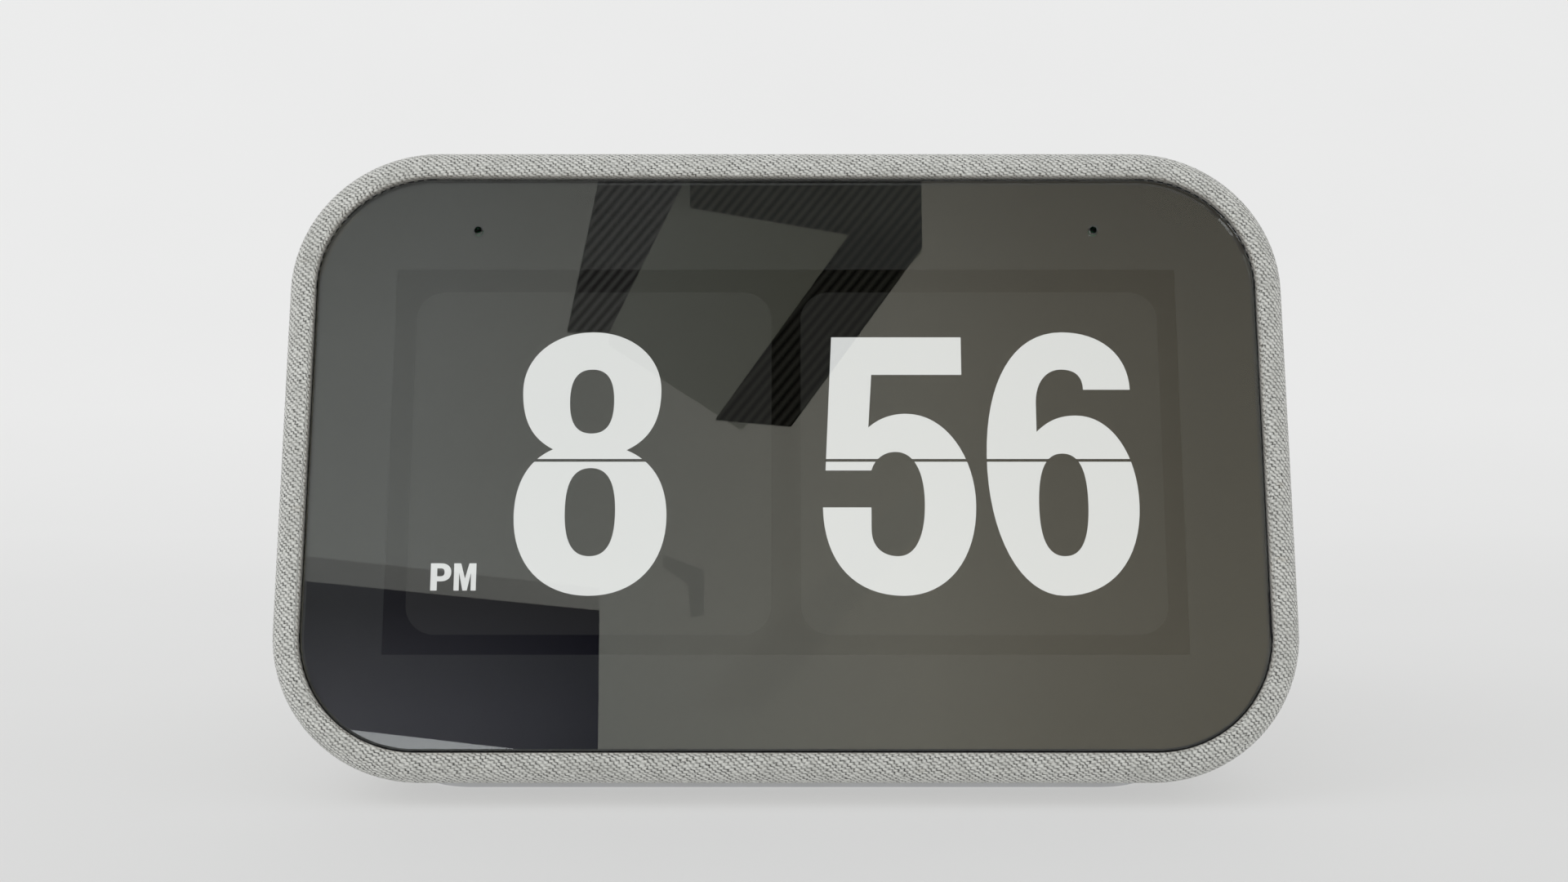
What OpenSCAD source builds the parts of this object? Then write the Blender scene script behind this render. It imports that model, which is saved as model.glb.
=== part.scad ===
// Table-top smart clock: a fabric-covered wedge with a leaning glass face, two volume
// buttons on top, a port panel at the back and a soft foot underneath.
// X runs to the right of someone facing the glass, the glass faces -Y and Z points up.
// The origin is on the resting surface, at the middle of the body's width and depth.

/* [Body] */
// Width across the widest part of the rim
body_w = 113.6; // [112:0.1:116]
// Depth from the front of the rim to the back
body_d = 79.2; // [78:0.1:84]
// Length of the leaning face, measured up its slope
face_h = 73; // [72:0.1:75]
// Lean of the face from upright, in degrees
face_tilt = 20; // [18:0.5:22]
// Corner radius of the face's outline
corner_r = 16.7; // [15.5:0.1:18]
// Rounding from the face into the sides
rim_r = 3; // [3:0.1:3.4]
// Height of the body's underside above the resting surface
body_lift = 2.2; // [2:0.1:3]
// Slant of each side wall, in degrees from square to the face
side_taper = 10; // [8:0.5:12]
// Rounding of the back into the underside
low_back_r = 9; // [8:0.1:11]
// Rounding of the back into the top
high_back_r = 16; // [14:0.1:18]
// Height of the centre of the upper back rounding
high_back_z = 45.5; // [44:0.1:48]
// Lean of the back wall from upright, in degrees
back_lean = 15; // [12:0.5:18]

/* [Shell] */
// Thickness of the fabric
fabric_t = 0.8; // [0.5:0.05:0.9]
// Wall of the front frame and the rear housing
wall_t = 2; // [1.6:0.1:2]
// How far behind the face the frame meets the rear housing
split_depth = 11; // [10:0.1:12]

/* [Glass] */
// Width of the opening in the fabric that the glass fills
opening_w = 107.05; // [104:0.05:108]
// Height of that opening, measured up the face
opening_h = 66.4; // [64:0.05:67]
// Corner radius of that opening
opening_r = 13.25; // [12:0.05:14]
// How far the opening's centre lies below the face's centre
opening_drop = 0.4; // [0:0.1:0.8]
// Gap all round between the glass and the fabric
glass_gap = 0.2; // [0.1:0.05:0.3]
// How far the glass lies below the rim
glass_recess = 0.4; // [0.2:0.05:0.5]
// Thickness of the glass
glass_t = 1.1; // [0.7:0.05:1.1]
// Distance of each microphone hole from the centre line
mic_x = 35.25; // [30:0.05:40]
// Height of the microphone holes above the glass's centre
mic_rise = 26.9; // [26.5:0.05:27.3]
// Diameter of the microphone holes
mic_d = 0.8; // [0.6:0.1:1]

/* [Display] */
// Width of the lit area
view_w = 88.85; // [80:0.05:89]
// Height of the lit area
view_h = 44.6; // [40:0.05:45]
// Margin of the LCD cell round the lit area
cell_margin = 2.8; // [2:0.1:3]
// Window in the front frame, wide
window_w = 100; // [98:0.1:101]
// Window in the front frame, high
window_h = 58; // [57:0.1:59]

/* [Controls] */
// Distance of each volume button from the centre line
button_x = 13; // [12:0.1:16]
// Length of a volume button
button_w = 13; // [11:0.1:14]
// Width of a volume button
button_h = 6.4; // [5:0.1:7]
// How far a volume button stands out of the fabric
button_proud = 0.7; // [0.65:0.05:1]
// Room left round a button, its edge to the housing's
button_gap = 0.2; // [0.15:0.05:0.3]
// Distance that the mute slider moves
mute_travel = 2.2; // [1.8:0.1:2.4]

/* [Ports] */
// Width of the port panel
panel_w = 56; // [54:0.5:58]
// Height of the port panel
panel_h = 20; // [18:0.5:21]
// Distance of the panel's centre up the back wall, from where the wall starts
panel_rise = 11.5; // [11:0.1:13]
// Distance of each port from the centre line
port_x = 16; // [14:0.5:18]
// Width of the USB socket's shell
usb_w = 13.2; // [13.2:0.1:13.4]
// Height of the USB socket's shell
usb_h = 5.8; // [5.8:0.1:6]
// Diameter of the power inlet's bore
jack_d = 5.7; // [5.5:0.1:6]
// Diameter of the power inlet's pin
jack_pin_d = 2; // [1.6:0.1:2.5]

/* [Base] */
// Width of the soft foot
foot_w = 82.4; // [80:0.1:84]
// Depth of the soft foot
foot_d = 58; // [56:0.5:60]
// Corner radius of the soft foot
foot_r = 6; // [5:0.5:8]
// Depth of the base plate
plate_d = 50; // [48:0.5:52]
// Width of the base plate
plate_w = 76; // [74:0.5:78]

/* [Speaker] */
// Side of the driver's square flange
driver_d = 36; // [35:0.5:36]
// Height of the speaker box's lid above the resting surface
lid_z = 43; // [42:0.1:43.5]
// Outside width of the speaker box
box_w = 72; // [68:0.5:74]
// Diameter of each passive radiator's plate
radiator_d = 17; // [15:0.5:18]

/* [Hidden] */

round_fn = 48;
form_fn = 40;
tube_fn = 24;
over = 1;
far = 200;

// Face: the middle of its outline
rim_half_h = face_h / 2 - rim_r;
face_z = body_lift + rim_r + rim_half_h * cos(face_tilt) + rim_r * sin(face_tilt);
face_y = -body_d / 2 + rim_r + rim_half_h * sin(face_tilt) - rim_r * cos(face_tilt);

// Where a rounding of radius r, centred at (y, z), touches the slanting side wall
function rounding_x(y, z, r) = body_w / 2 - rim_r + ((rim_r - face_depth(y, z))
    * sin(side_taper) + rim_r - r) / cos(side_taper);

// Depth of a point of the side view behind the face
function face_depth(y, z) = (y - face_y) * cos(face_tilt) - (z - face_z) * sin(face_tilt);

// Back: centres of its roundings, and where its flat wall starts
low_back_y = body_d / 2 - low_back_r;
low_back_z = body_lift + low_back_r;
high_back_y = low_back_y + ((low_back_z - high_back_z) * sin(back_lean)
    + low_back_r - high_back_r) / cos(back_lean);
low_back_x = rounding_x(low_back_y, low_back_z, low_back_r);
high_back_x = rounding_x(high_back_y, high_back_z, high_back_r);
wall_y = low_back_y + low_back_r * cos(back_lean);
wall_z = low_back_z + low_back_r * sin(back_lean);

// Top: the flat slope between the rim and the upper back rounding
crest_y = face_y + rim_half_h * sin(face_tilt) + rim_r * cos(face_tilt);
crest_z = face_z + rim_half_h * cos(face_tilt) - rim_r * sin(face_tilt);
crest_run = norm([high_back_y - crest_y, high_back_z - crest_z]);
top_slope = atan2(crest_z - high_back_z, high_back_y - crest_y)
    - asin((high_back_r - rim_r) / crest_run);
top_len = sqrt(crest_run * crest_run - pow(high_back_r - rim_r, 2));

// Depths into the shell from its outside
skin = fabric_t;
inside = fabric_t + wall_t;

// Glass and display, as depths behind the face
glass_w = opening_w - 2 * glass_gap;
glass_h = opening_h - 2 * glass_gap;
glass_r = opening_r - glass_gap;
glass_back = glass_recess + glass_t;
print_t = 0.1;
ledge_depth = glass_back + 0.5;
film_t = 0.3;
film_back = glass_back + print_t + film_t;
film_margin = 2;
cell_t = 1.4;
cell_back = film_back + cell_t;
tray_t = 3;
tray_back = cell_back + tray_t;
tray_wall = 0.4;
print_inset = 0.3;
seat_back = tray_back + 0.2;
bracket_t = 1;
post_x = 44.5;
post_rise = 28.1;
post_d = 5;
post_root = 0.3;
screw_d = 1.9;
screw_bore_d = 2;
screw_head_d = 3.6;
screw_head_t = 1.2;
screw_len = 5;
ribbon_t = 0.25;
bracket_back = seat_back + bracket_t;

// Microphones
mic_seal_d = 3.4;
mic_seal_t = 1;
mic_board_w = 8;
mic_board_h = 3.4;
mic_board_t = 0.8;
mic_can_w = 3.8;
mic_can_h = 3;
mic_can_t = 1;

// Volume buttons, as depths below the top's outside
flange_t = 0.8;
flange_edge = 1;
flange_top = inside + 0.1;
stem_d = 3;
stem_bottom = flange_top + flange_t + 1.4;
plunger_d = 3;
plunger_up = 0.8;
plunger_in = 1.4;
switch_side = 6;
switch_t = 2.7;
switch_bore_d = 3.4;
switch_bore = 2.3;
switch_top = stem_bottom + plunger_up;
button_board_top = switch_top + switch_t;
button_board_t = 1;
button_board_w = 54;
button_board_h = 12;
top_post_x = 24;
top_post_d = 4.4;
mark_len = 3;
mark_w = 0.6;
mark_depth = 0.15;

// Port panel, as depths into the back wall
panel_out = 0.3;
panel_r = 5;
panel_edge = 2;
panel_flange_t = 1.2;
panel_back = inside + panel_flange_t;
panel_room = 0.15;
port_board_t = 1.2;
port_board_top = 13.2;
port_board_w = 50;
port_board_h = 16;
port_stand_rise = 5.6;
usb_wall = 0.3;
usb_tongue_w = 11.4;
usb_tongue_t = 1.8;
usb_tongue_up = 1;
usb_heel_t = 1;
socket_out = 0.6;
jack_body_d = 8.4;
jack_heel_t = 2;
mute_cap_w = 5;
mute_cap_h = 2.6;
mute_cap_top = 0.3;
mute_cap_bottom = 1.3;
mute_floor = 1.7;
mute_mark_t = 0.1;
mute_neck_w = 2.4;
mute_neck_h = 1.2;
mute_flange_w = 7;
mute_flange_h = 4;
mute_flange_t = 0.6;
mute_body_w = 9;
mute_body_h = 4;
mute_body_t = 3.5;
mute_room = 0.25;

// Base, as heights above the resting surface
plate_t = 1.8;
plate_r = 5;
plate_y = -1;
plate_room = 0.15;
ledge_edge = 6;
base_screw_x = 33;
base_screw_y = 20;
base_post_top = 11;
base_post_d = 5;
base_screw_top = 9;
stand_x = 27;
stand_y = 14;
stand_d = 4;
board_z = 8;
board_t = 1.2;
board_w = 60;
board_d = 36;
board_hole_d = 1.8;
board_screw_d = 1.6;
chip_t = 1.2;
memory_t = 1;
can_w = 38;
can_d = 26;
can_t = 2.6;
can_wall = 0.25;
pad_side = 12;
spreader_w = 54;
spreader_d = 30;
spreader_t = 1;
plug_w = 5;
plug_t = 1.5;

// Speaker box: its side view, and the driver's place on its lid
box_front_y = -13.5;
box_step_y = 16;
box_back_y = 22.5;
box_floor_z = 15;
box_step_z = 32;
box_wall = 1.6;
lid_t = 1.6;
driver_y = 4.5;
cone_r = 12.4;
basket_screw = driver_d / 2 - 3.5;
basket_t = 1;
basket_corner_r = 5;
flange_out_r = 14.8;
driver_room = 0.6;
driver_z = lid_z + lid_t;
radiator_y = 1;
radiator_z = 28.5;
radiator_rim = 1;
radiator_hole_r = radiator_d / 2 + 1.6;
radiator_rim_r = radiator_d / 2 + 3.7;
leg_x = 34;
leg_front_y = -9;
leg_back_y = 10;
leg_d = 3.6;
roll_r = 1.2;
roll_t = 0.3;
lip_w = 0.9;

// Driver: radii, and depths below the top of the lid
throat_r = 14.4;
throat_z = 0.2;
seat_r = 9.4;
seat_z = 6.4;
gap_out_r = 5.4;
front_plate_r = 9;
front_plate_top = 7.4;
front_plate_back = 8.6;
magnet_in_r = 6.4;
magnet_back = 12;
yoke_back = 13.2;
pole_r = 4.4;
pole_top = 7.6;
coil_r = 4.7;
coil_out_r = 5.1;
coil_top = 4.4;
coil_back = 10.2;
spider_in_r = 5.2;
spider_top = 5.6;
spider_back = 5.9;
neck_top = 3.9;
cone_edge_z = 0.7;
cap_r = 4.6;
cap_rise = 1.6;
slot_count = 6;
slot_w = 1.8;
slot_pitch = 4.4;
slot_len = 20;
slot_y = 4;
slot_z = 28;

// Point on the side view, at a height up the face and a depth behind it
function face_point(rise, depth) = [
    face_y + rise * sin(face_tilt) + depth * cos(face_tilt),
    face_z + rise * cos(face_tilt) - depth * sin(face_tilt)
];

// Colours
fabric_grey = "#b4b2aa";
shell_grey = "#c9c9c6";
black = "#161616";

// ---- Places: each moves what follows it into that part of the body ----

// Face: x to the right, y up the slope, z straight out of the glass
module on_face() {
    translate([0, face_y, face_z]) rotate([90 - face_tilt, 0, 0]) children();
}

// The same, centred on the glass
module on_glass() {
    on_face() translate([0, -opening_drop, 0]) children();
}

// Top: x to the right, y down the slope towards the back, z straight out
module on_top() {
    translate([0, crest_y, crest_z]) rotate([-top_slope, 0, 0])
        translate([0, top_len / 2, rim_r]) children();
}

// Back: x to the right of someone behind it, y up the wall, z straight out
module on_back() {
    translate([0, wall_y, wall_z]) rotate([back_lean - 90, 0, 0]) rotate([0, 0, 180])
        translate([0, panel_rise, 0]) children();
}

// ---- Shapes used more than once ----

// Plate with rounded corners, its lower face at z
module plate(w, h, r, z, t) {
    translate([0, 0, z]) linear_extrude(t) {
        square([w - 2 * r, h], center = true);
        square([w, h - 2 * r], center = true);
        for (sx = [-1, 1], sy = [-1, 1])
            translate([sx * (w / 2 - r), sy * (h / 2 - r)]) circle(r, $fn = round_fn);
    }
}

// Plate with round ends, its lower face at z
module pill(w, h, z, t) {
    translate([0, 0, z]) linear_extrude(t) {
        square([w - h, h], center = true);
        for (sx = [-1, 1])
            translate([sx * (w - h) / 2, 0]) circle(h / 2, $fn = round_fn);
    }
}

// Square-edged block centred on x and y, its lower face at z
module block(w, h, z, t) {
    translate([-w / 2, -h / 2, z]) cube([w, h, t]);
}

// Round post or hole, its lower face at z
module post(d, z, t) {
    translate([0, 0, z]) cylinder(d = d, h = t, $fn = round_fn);
}

// Ring turned from the outline of its section
module turned(outline) {
    rotate_extrude($fn = round_fn) polygon(outline);
}

// A copy on each side of the centre line, at distance x
module both_sides(x) {
    for (side = [-1, 1]) translate([side * x, 0, 0]) children();
}

// Four copies at the corners of a rectangle
module at_corners(x, y) {
    for (sx = [-1, 1], sy = [-1, 1]) translate([sx * x, sy * y, 0]) children();
}

// Small screw, its shaft up from z and its head below
module screw(z, shaft_d, length) {
    post(shaft_d, z, length);
    difference() {
        post(screw_head_d, z - screw_head_t, screw_head_t);
        block(screw_head_d / 2, 0.6, z - screw_head_t - over, over + 0.5);
        block(0.6, screw_head_d / 2, z - screw_head_t - over, over + 0.5);
    }
}

// The outside shape of the body, shrunk by inset all over
module body_form(inset) {
    hull() {
        on_face() at_corners(body_w / 2 - corner_r, face_h / 2 - corner_r)
            translate([0, 0, -rim_r]) rotate_extrude($fn = form_fn)
                translate([corner_r - rim_r, 0]) circle(rim_r - inset, $fn = tube_fn);
        translate([0, low_back_y, low_back_z]) both_sides(low_back_x)
            sphere(low_back_r - inset, $fn = form_fn);
        translate([0, high_back_y, high_back_z]) both_sides(high_back_x)
            sphere(high_back_r - inset, $fn = form_fn);
    }
}

// Everything behind the plane at the given depth behind the face
module behind_face(depth) {
    on_face() translate([-far / 2, -far / 2, -depth - far]) cube(far);
}

// ---- Shell ----

module fabric_cover() {
    color(fabric_grey) difference() {
        body_form(0);
        body_form(skin);
        on_glass() plate(opening_w, opening_h, opening_r, -skin - over, 2 * over + skin);
        on_back() plate(panel_w + 2 * panel_room, panel_h + 2 * panel_room, panel_r,
            -skin - over, 2 * over + skin);
        on_top() both_sides(button_x) pill(button_w + 2 * button_gap,
            button_h + 2 * button_gap, -skin - over, 2 * over + skin);
        translate([0, plate_y, 0]) plate(plate_w + 2 * plate_room, plate_d + 2 * plate_room,
            plate_r, body_lift - over, skin + 2 * over);
    }
}

module front_frame() {
    color(black) difference() {
        union() {
            difference() {
                body_form(skin);
                body_form(inside);
                behind_face(split_depth);
            }
            on_glass() at_corners(post_x, post_rise)
                post(post_d, -seat_back, seat_back - inside + post_root);
        }
        on_glass() plate(opening_w, opening_h, opening_r, -ledge_depth, ledge_depth + over);
        on_glass() plate(window_w, window_h, opening_r - 3, -inside - over, inside + over);
        on_glass() at_corners(post_x, post_rise)
            post(screw_bore_d, -seat_back - over, over + screw_len - bracket_t + post_root);
    }
}

module rear_housing() {
    color(shell_grey) difference() {
        union() {
            intersection() {
                difference() {
                    body_form(skin);
                    body_form(inside);
                }
                behind_face(split_depth);
            }
            on_top() both_sides(top_post_x)
                post(top_post_d, -button_board_top, button_board_top - inside + post_root);
            translate([0, plate_y, 0]) at_corners(base_screw_x, base_screw_y)
                post(base_post_d, body_lift + plate_t, base_post_top - body_lift - plate_t);
        }
        on_back() plate(panel_w + 2 * panel_room, panel_h + 2 * panel_room, panel_r,
            -inside - over, inside + 2 * over);
        on_top() both_sides(button_x) pill(button_w + 2 * button_gap,
            button_h + 2 * button_gap, -inside - over, inside + 2 * over);
        translate([0, plate_y, 0]) plate(plate_w + 2 * plate_room, plate_d + 2 * plate_room,
            plate_r, body_lift - over, plate_t + over);
        translate([0, plate_y, 0]) plate(plate_w - 2 * ledge_edge, plate_d - 2 * ledge_edge - 4,
            plate_r, body_lift, inside + over);
        on_top() both_sides(top_post_x)
            post(board_hole_d, -button_board_top - over, over + screw_len);
        translate([0, plate_y, 0]) at_corners(base_screw_x, base_screw_y)
            post(screw_bore_d, body_lift, base_screw_top + 1 - body_lift);
        for (i = [0 : slot_count - 1])
            translate([-far / 2, slot_y + (i - (slot_count - 1) / 2) * slot_pitch, slot_z])
                cube([far, slot_w, slot_len], center = false);
    }
}

module port_panel() {
    color("#3a3b3d") on_back() difference() {
        union() {
            plate(panel_w, panel_h, panel_r - panel_room, -panel_back, panel_back - panel_out);
            plate(panel_w + 2 * panel_edge, panel_h + 2 * panel_edge, panel_r,
                -panel_back, panel_flange_t);
            translate([0, port_stand_rise, 0]) both_sides(port_board_w / 2 - 2)
                post(stand_d, -port_board_top, port_board_top - panel_back + post_root);
        }
        translate([-port_x, 0, 0])
            block(usb_w + 2 * panel_room, usb_h + 2 * panel_room, -panel_back - over,
                panel_back + 2 * over);
        translate([port_x, 0, 0])
            post(jack_body_d + 2 * panel_room, -panel_back - over, panel_back + 2 * over);
        block(mute_cap_w + mute_travel + 2 * mute_room, mute_cap_h + 2 * mute_room,
            -mute_floor, mute_floor + over);
        block(mute_neck_w + mute_travel + 2 * mute_room, mute_neck_h + 2 * mute_room,
            -panel_back - over, panel_back + over);
    }
}

module base_plate() {
    color(black) translate([0, plate_y, 0]) difference() {
        union() {
            plate(plate_w, plate_d, plate_r, body_lift, plate_t);
            at_corners(stand_x, stand_y)
                post(stand_d, body_lift, board_z - body_lift);
        }
        at_corners(stand_x, stand_y)
            post(board_hole_d, body_lift + 1, board_z);
        at_corners(base_screw_x, base_screw_y) {
            post(screw_bore_d + 0.3, 0, far);
            post(screw_head_d + 0.4, 0, body_lift + screw_head_t);
        }
    }
}

module rubber_foot() {
    color("#bcbec0") translate([0, plate_y, 0]) plate(foot_w, foot_d, foot_r, 0, body_lift);
}

module base_screws() {
    color("silver") translate([0, plate_y, 0]) at_corners(base_screw_x, base_screw_y)
        screw(body_lift + screw_head_t, screw_d, base_screw_top - body_lift - screw_head_t);
}

// ---- Glass and display ----

module cover_glass() {
    color("#20242a") on_glass() difference() {
        plate(glass_w, glass_h, glass_r, -glass_back, glass_t);
        translate([0, mic_rise, 0]) both_sides(mic_x)
            post(mic_d, -glass_back - over, glass_t + 2 * over);
    }
}

module border_print() {
    color(black) on_glass() difference() {
        plate(glass_w - 2 * print_inset, glass_h - 2 * print_inset, glass_r - print_inset,
            -glass_back - print_t, print_t);
        block(view_w, view_h, -glass_back - print_t - over, print_t + 2 * over);
        translate([0, mic_rise, 0]) both_sides(mic_x)
            post(mic_d + 0.4, -glass_back - over, glass_t);
    }
}

module glass_tape() {
    color("#2a2a2a") on_glass() difference() {
        plate(glass_w - 1, glass_h - 1, glass_r - 0.5, -ledge_depth,
            ledge_depth - glass_back - print_t);
        plate(window_w, window_h, opening_r - 3, -ledge_depth - over, far);
    }
}

module touch_film() {
    color("#8fa0a8") on_glass() block(view_w + 2 * film_margin, view_h + 2 * film_margin,
        -film_back, film_t);
}

module lcd_cell() {
    color("#30363c") on_glass() block(view_w + 2 * cell_margin, view_h + 2 * cell_margin,
        -cell_back, cell_t);
}

module light_guide() {
    guide_edge = cell_margin - tray_wall - 0.1;
    color("#eef2f2") on_glass() block(view_w + 2 * guide_edge, view_h + 2 * guide_edge,
        -tray_back + tray_wall, tray_t - tray_wall);
}

module backlight_tray() {
    color("silver") on_glass() difference() {
        block(view_w + 2 * cell_margin, view_h + 2 * cell_margin, -tray_back, tray_t);
        block(view_w + 2 * (cell_margin - tray_wall), view_h + 2 * (cell_margin - tray_wall),
            -tray_back + tray_wall, tray_t);
    }
}

module display_bracket() {
    color("#a9adb0") on_glass() difference() {
        union() {
            plate(window_w - 6, window_h - 6, 4, -bracket_back, bracket_t);
            at_corners(post_x, post_rise) post(post_d, -bracket_back, bracket_t);
            for (side = [-1, 1])
                translate([0, side * (post_rise - 1), 0])
                    block(2 * post_x, 3, -bracket_back, bracket_t);
        }
        at_corners(post_x, post_rise) post(screw_bore_d + 0.3, -bracket_back - over, far);
        both_sides(window_w / 5) block(window_w / 5, window_h / 3, -bracket_back - over, far);
    }
}

module display_screws() {
    color("silver") on_glass() at_corners(post_x, post_rise)
        screw(-bracket_back, screw_d, screw_len);
}

// Flat ribbon from the tray's back down to the main board's front connector
module display_ribbon() {
    ribbon_w = 14;
    from_rise = -14;
    bend_rise = -22;
    plug_z = board_z + board_t + plug_t;
    plug_y = plate_y - board_d / 2 + 2.2;
    start = face_point(from_rise, bracket_back);
    bend = face_point(bend_rise, bracket_back);
    color("#c47a2c") translate([-ribbon_w / 2, 0, 0]) rotate([90, 0, 90])
        linear_extrude(ribbon_w) polygon([
            start, bend, [plug_y - 1.5, plug_z], [plug_y + 1.5, plug_z],
            [plug_y + 1.5, plug_z + ribbon_t], [plug_y - 1.4, plug_z + ribbon_t],
            bend + [ribbon_t, 0.15], start + [ribbon_t, 0]
        ]);
}

module mic_boards() {
    color("#1f5a3a") on_glass() translate([0, mic_rise, 0]) both_sides(mic_x) {
        block(mic_board_w, mic_board_h,
            -glass_back - print_t - mic_seal_t - mic_board_t, mic_board_t);
        block(mic_can_w, mic_can_h,
            -glass_back - print_t - mic_seal_t - mic_board_t - mic_can_t, mic_can_t);
    }
}

module mic_seals() {
    color("#222222") on_glass() translate([0, mic_rise, 0]) both_sides(mic_x) difference() {
        post(mic_seal_d, -glass_back - print_t - mic_seal_t, mic_seal_t);
        post(mic_d + 0.4, -glass_back - far, 2 * far);
    }
}

// ---- Volume buttons ----

// Button cap with a raised lip inside the shell and a stem towards its switch
module volume_button() {
    difference() {
        union() {
            pill(button_w, button_h, -flange_top, flange_top + button_proud);
            pill(button_w + 2 * flange_edge, button_h + 2 * flange_edge,
                -flange_top - flange_t, flange_t);
            post(stem_d, -stem_bottom, stem_bottom - flange_top);
        }
        block(mark_len, mark_w, button_proud - mark_depth, over);
        children();
    }
}

module volume_plunger() {
    post(plunger_d, -switch_top - plunger_in, switch_top + plunger_in - stem_bottom);
}

module volume_up_button() {
    color("#c3c3be") on_top() translate([button_x, 0, 0])
        volume_button() block(mark_w, mark_len, button_proud - mark_depth, over);
}

module volume_down_button() {
    color("#c3c3be") on_top() translate([-button_x, 0, 0]) volume_button();
}

module volume_up_plunger() {
    color(black) on_top() translate([button_x, 0, 0]) volume_plunger();
}

module volume_down_plunger() {
    color(black) on_top() translate([-button_x, 0, 0]) volume_plunger();
}

module volume_switches() {
    color("#8d9092") on_top() both_sides(button_x) difference() {
        block(switch_side, switch_side, -button_board_top, switch_t);
        post(switch_bore_d, -switch_top - switch_bore, far);
    }
}

module button_board() {
    color("#1f5a3a") on_top() difference() {
        block(button_board_w, button_board_h, -button_board_top - button_board_t,
            button_board_t);
        both_sides(top_post_x) post(board_hole_d, -far, far);
    }
}

module button_screws() {
    color("silver") on_top() both_sides(top_post_x)
        screw(-button_board_top - button_board_t, board_screw_d, screw_len - 1);
}

// Flat ribbon lying along the underside of the button board
module button_ribbon() {
    ribbon_w = 6;
    color("#c47a2c") on_top()
        block(ribbon_w, button_board_h - 2, -button_board_top - button_board_t - ribbon_t,
            ribbon_t);
}

// ---- Ports ----

module mute_knob() {
    color("#d0d0cc") on_back() translate([-mute_travel / 2, 0, 0]) {
        block(mute_cap_w, mute_cap_h, -mute_cap_bottom, mute_cap_bottom + mute_cap_top);
        block(mute_neck_w, mute_neck_h, -port_board_top + mute_body_t + 0.2,
            port_board_top - mute_body_t - 0.2 - mute_cap_bottom);
        block(mute_flange_w, mute_flange_h, -panel_back - mute_room - mute_flange_t,
            mute_flange_t);
    }
}

module mute_switch() {
    color("#8d9092") on_back() block(mute_body_w, mute_body_h, -port_board_top, mute_body_t);
}

// Red film on the slot's floor, bared when the slider moves across
module mute_mark() {
    mark_w = (mute_cap_w - mute_neck_w) / 2 - 0.3;
    color("#c03a2b") on_back()
        translate([-(mute_cap_w + mute_travel - mark_w) / 2, 0, 0])
            block(mark_w, mute_cap_h, -mute_floor, mute_mark_t);
}

module port_board() {
    color("#1f5a3a") on_back() block(port_board_w, port_board_h,
        -port_board_top - port_board_t, port_board_t);
}

module usb_shell() {
    color("silver") on_back() translate([-port_x, 0, 0]) difference() {
        block(usb_w, usb_h, -port_board_top, port_board_top - socket_out);
        block(usb_w - 2 * usb_wall, usb_h - 2 * usb_wall, -port_board_top - over, far);
    }
}

module usb_tongue() {
    color("white") on_back() translate([-port_x, 0, 0]) {
        block(usb_w - 2 * usb_wall, usb_h - 2 * usb_wall, -port_board_top, usb_heel_t);
        translate([0, usb_tongue_up, 0]) block(usb_tongue_w, usb_tongue_t,
            -port_board_top, port_board_top - 2 * socket_out - usb_heel_t);
    }
}

module dc_jack_body() {
    color(black) on_back() translate([port_x, 0, 0]) difference() {
        post(jack_body_d, -port_board_top, port_board_top - socket_out);
        post(jack_d, -port_board_top + jack_heel_t, far);
    }
}

module dc_jack_pin() {
    color("silver") on_back() translate([port_x, 0, 0])
        post(jack_pin_d, -port_board_top + jack_heel_t,
            port_board_top - jack_heel_t - 2 * socket_out);
}

// ---- Main board ----

module main_board() {
    color("#1f5a3a") translate([0, plate_y, 0]) difference() {
        block(board_w, board_d, board_z, board_t);
        at_corners(stand_x, stand_y) post(board_hole_d, 0, far);
    }
}

module processor() {
    color(black) translate([-6, plate_y, 0]) block(14, 14, board_z + board_t, chip_t);
}

module memory_chips() {
    color(black) translate([10, plate_y, 0])
        for (side = [-1, 1])
            translate([0, side * 5.6, 0]) block(9, 9, board_z + board_t, memory_t);
}

module shield_can() {
    color("silver") translate([0, plate_y, board_z + board_t]) difference() {
        block(can_w, can_d, 0, can_t);
        block(can_w - 2 * can_wall, can_d - 2 * can_wall, -can_wall, can_t);
    }
}

module thermal_pad() {
    color("#9fb4c8") translate([-6, plate_y, 0]) block(pad_side, pad_side,
        board_z + board_t + chip_t, can_t - can_wall - chip_t);
}

module heat_spreader() {
    color("#b8bcc0") translate([0, plate_y, 0])
        plate(spreader_w, spreader_d - 4, 3, board_z + board_t + can_t, spreader_t);
}

module board_connectors() {
    color("#e6e2d4") translate([0, plate_y, board_z + board_t]) {
        both_sides(board_w / 2 - plug_w) block(plug_w, 2 * plug_w, 0, plug_t);
        for (side = [-1, 1])
            translate([0, side * (board_d / 2 - 2.2), 0]) block(3 * plug_w, 3, 0, plug_t);
    }
}

module board_screws() {
    color("silver") translate([0, plate_y, 0]) at_corners(stand_x, stand_y)
        mirror([0, 0, 1]) screw(-board_z - board_t, board_screw_d, 4);
}

module antennas() {
    color("#c47a2c") on_back() translate([0, panel_rise + 7.5, 0]) both_sides(13)
        block(22, 6, -inside - 0.35, ribbon_t);
}

// ---- Speaker ----

// Side view of the box, shrunk by inset, up to the height top
module box_side(inset, top) {
    polygon([
        [box_front_y + inset, box_floor_z + inset],
        [box_step_y - inset, box_floor_z + inset],
        [box_step_y - inset, box_step_z + inset],
        [box_back_y - inset, box_step_z + inset],
        [box_back_y - inset, top],
        [box_front_y + inset, top]
    ]);
}

// A solid of the given width with that side view
module box_solid(w, inset, top) {
    translate([-w / 2, 0, 0]) rotate([90, 0, 90]) linear_extrude(w) box_side(inset, top);
}

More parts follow.
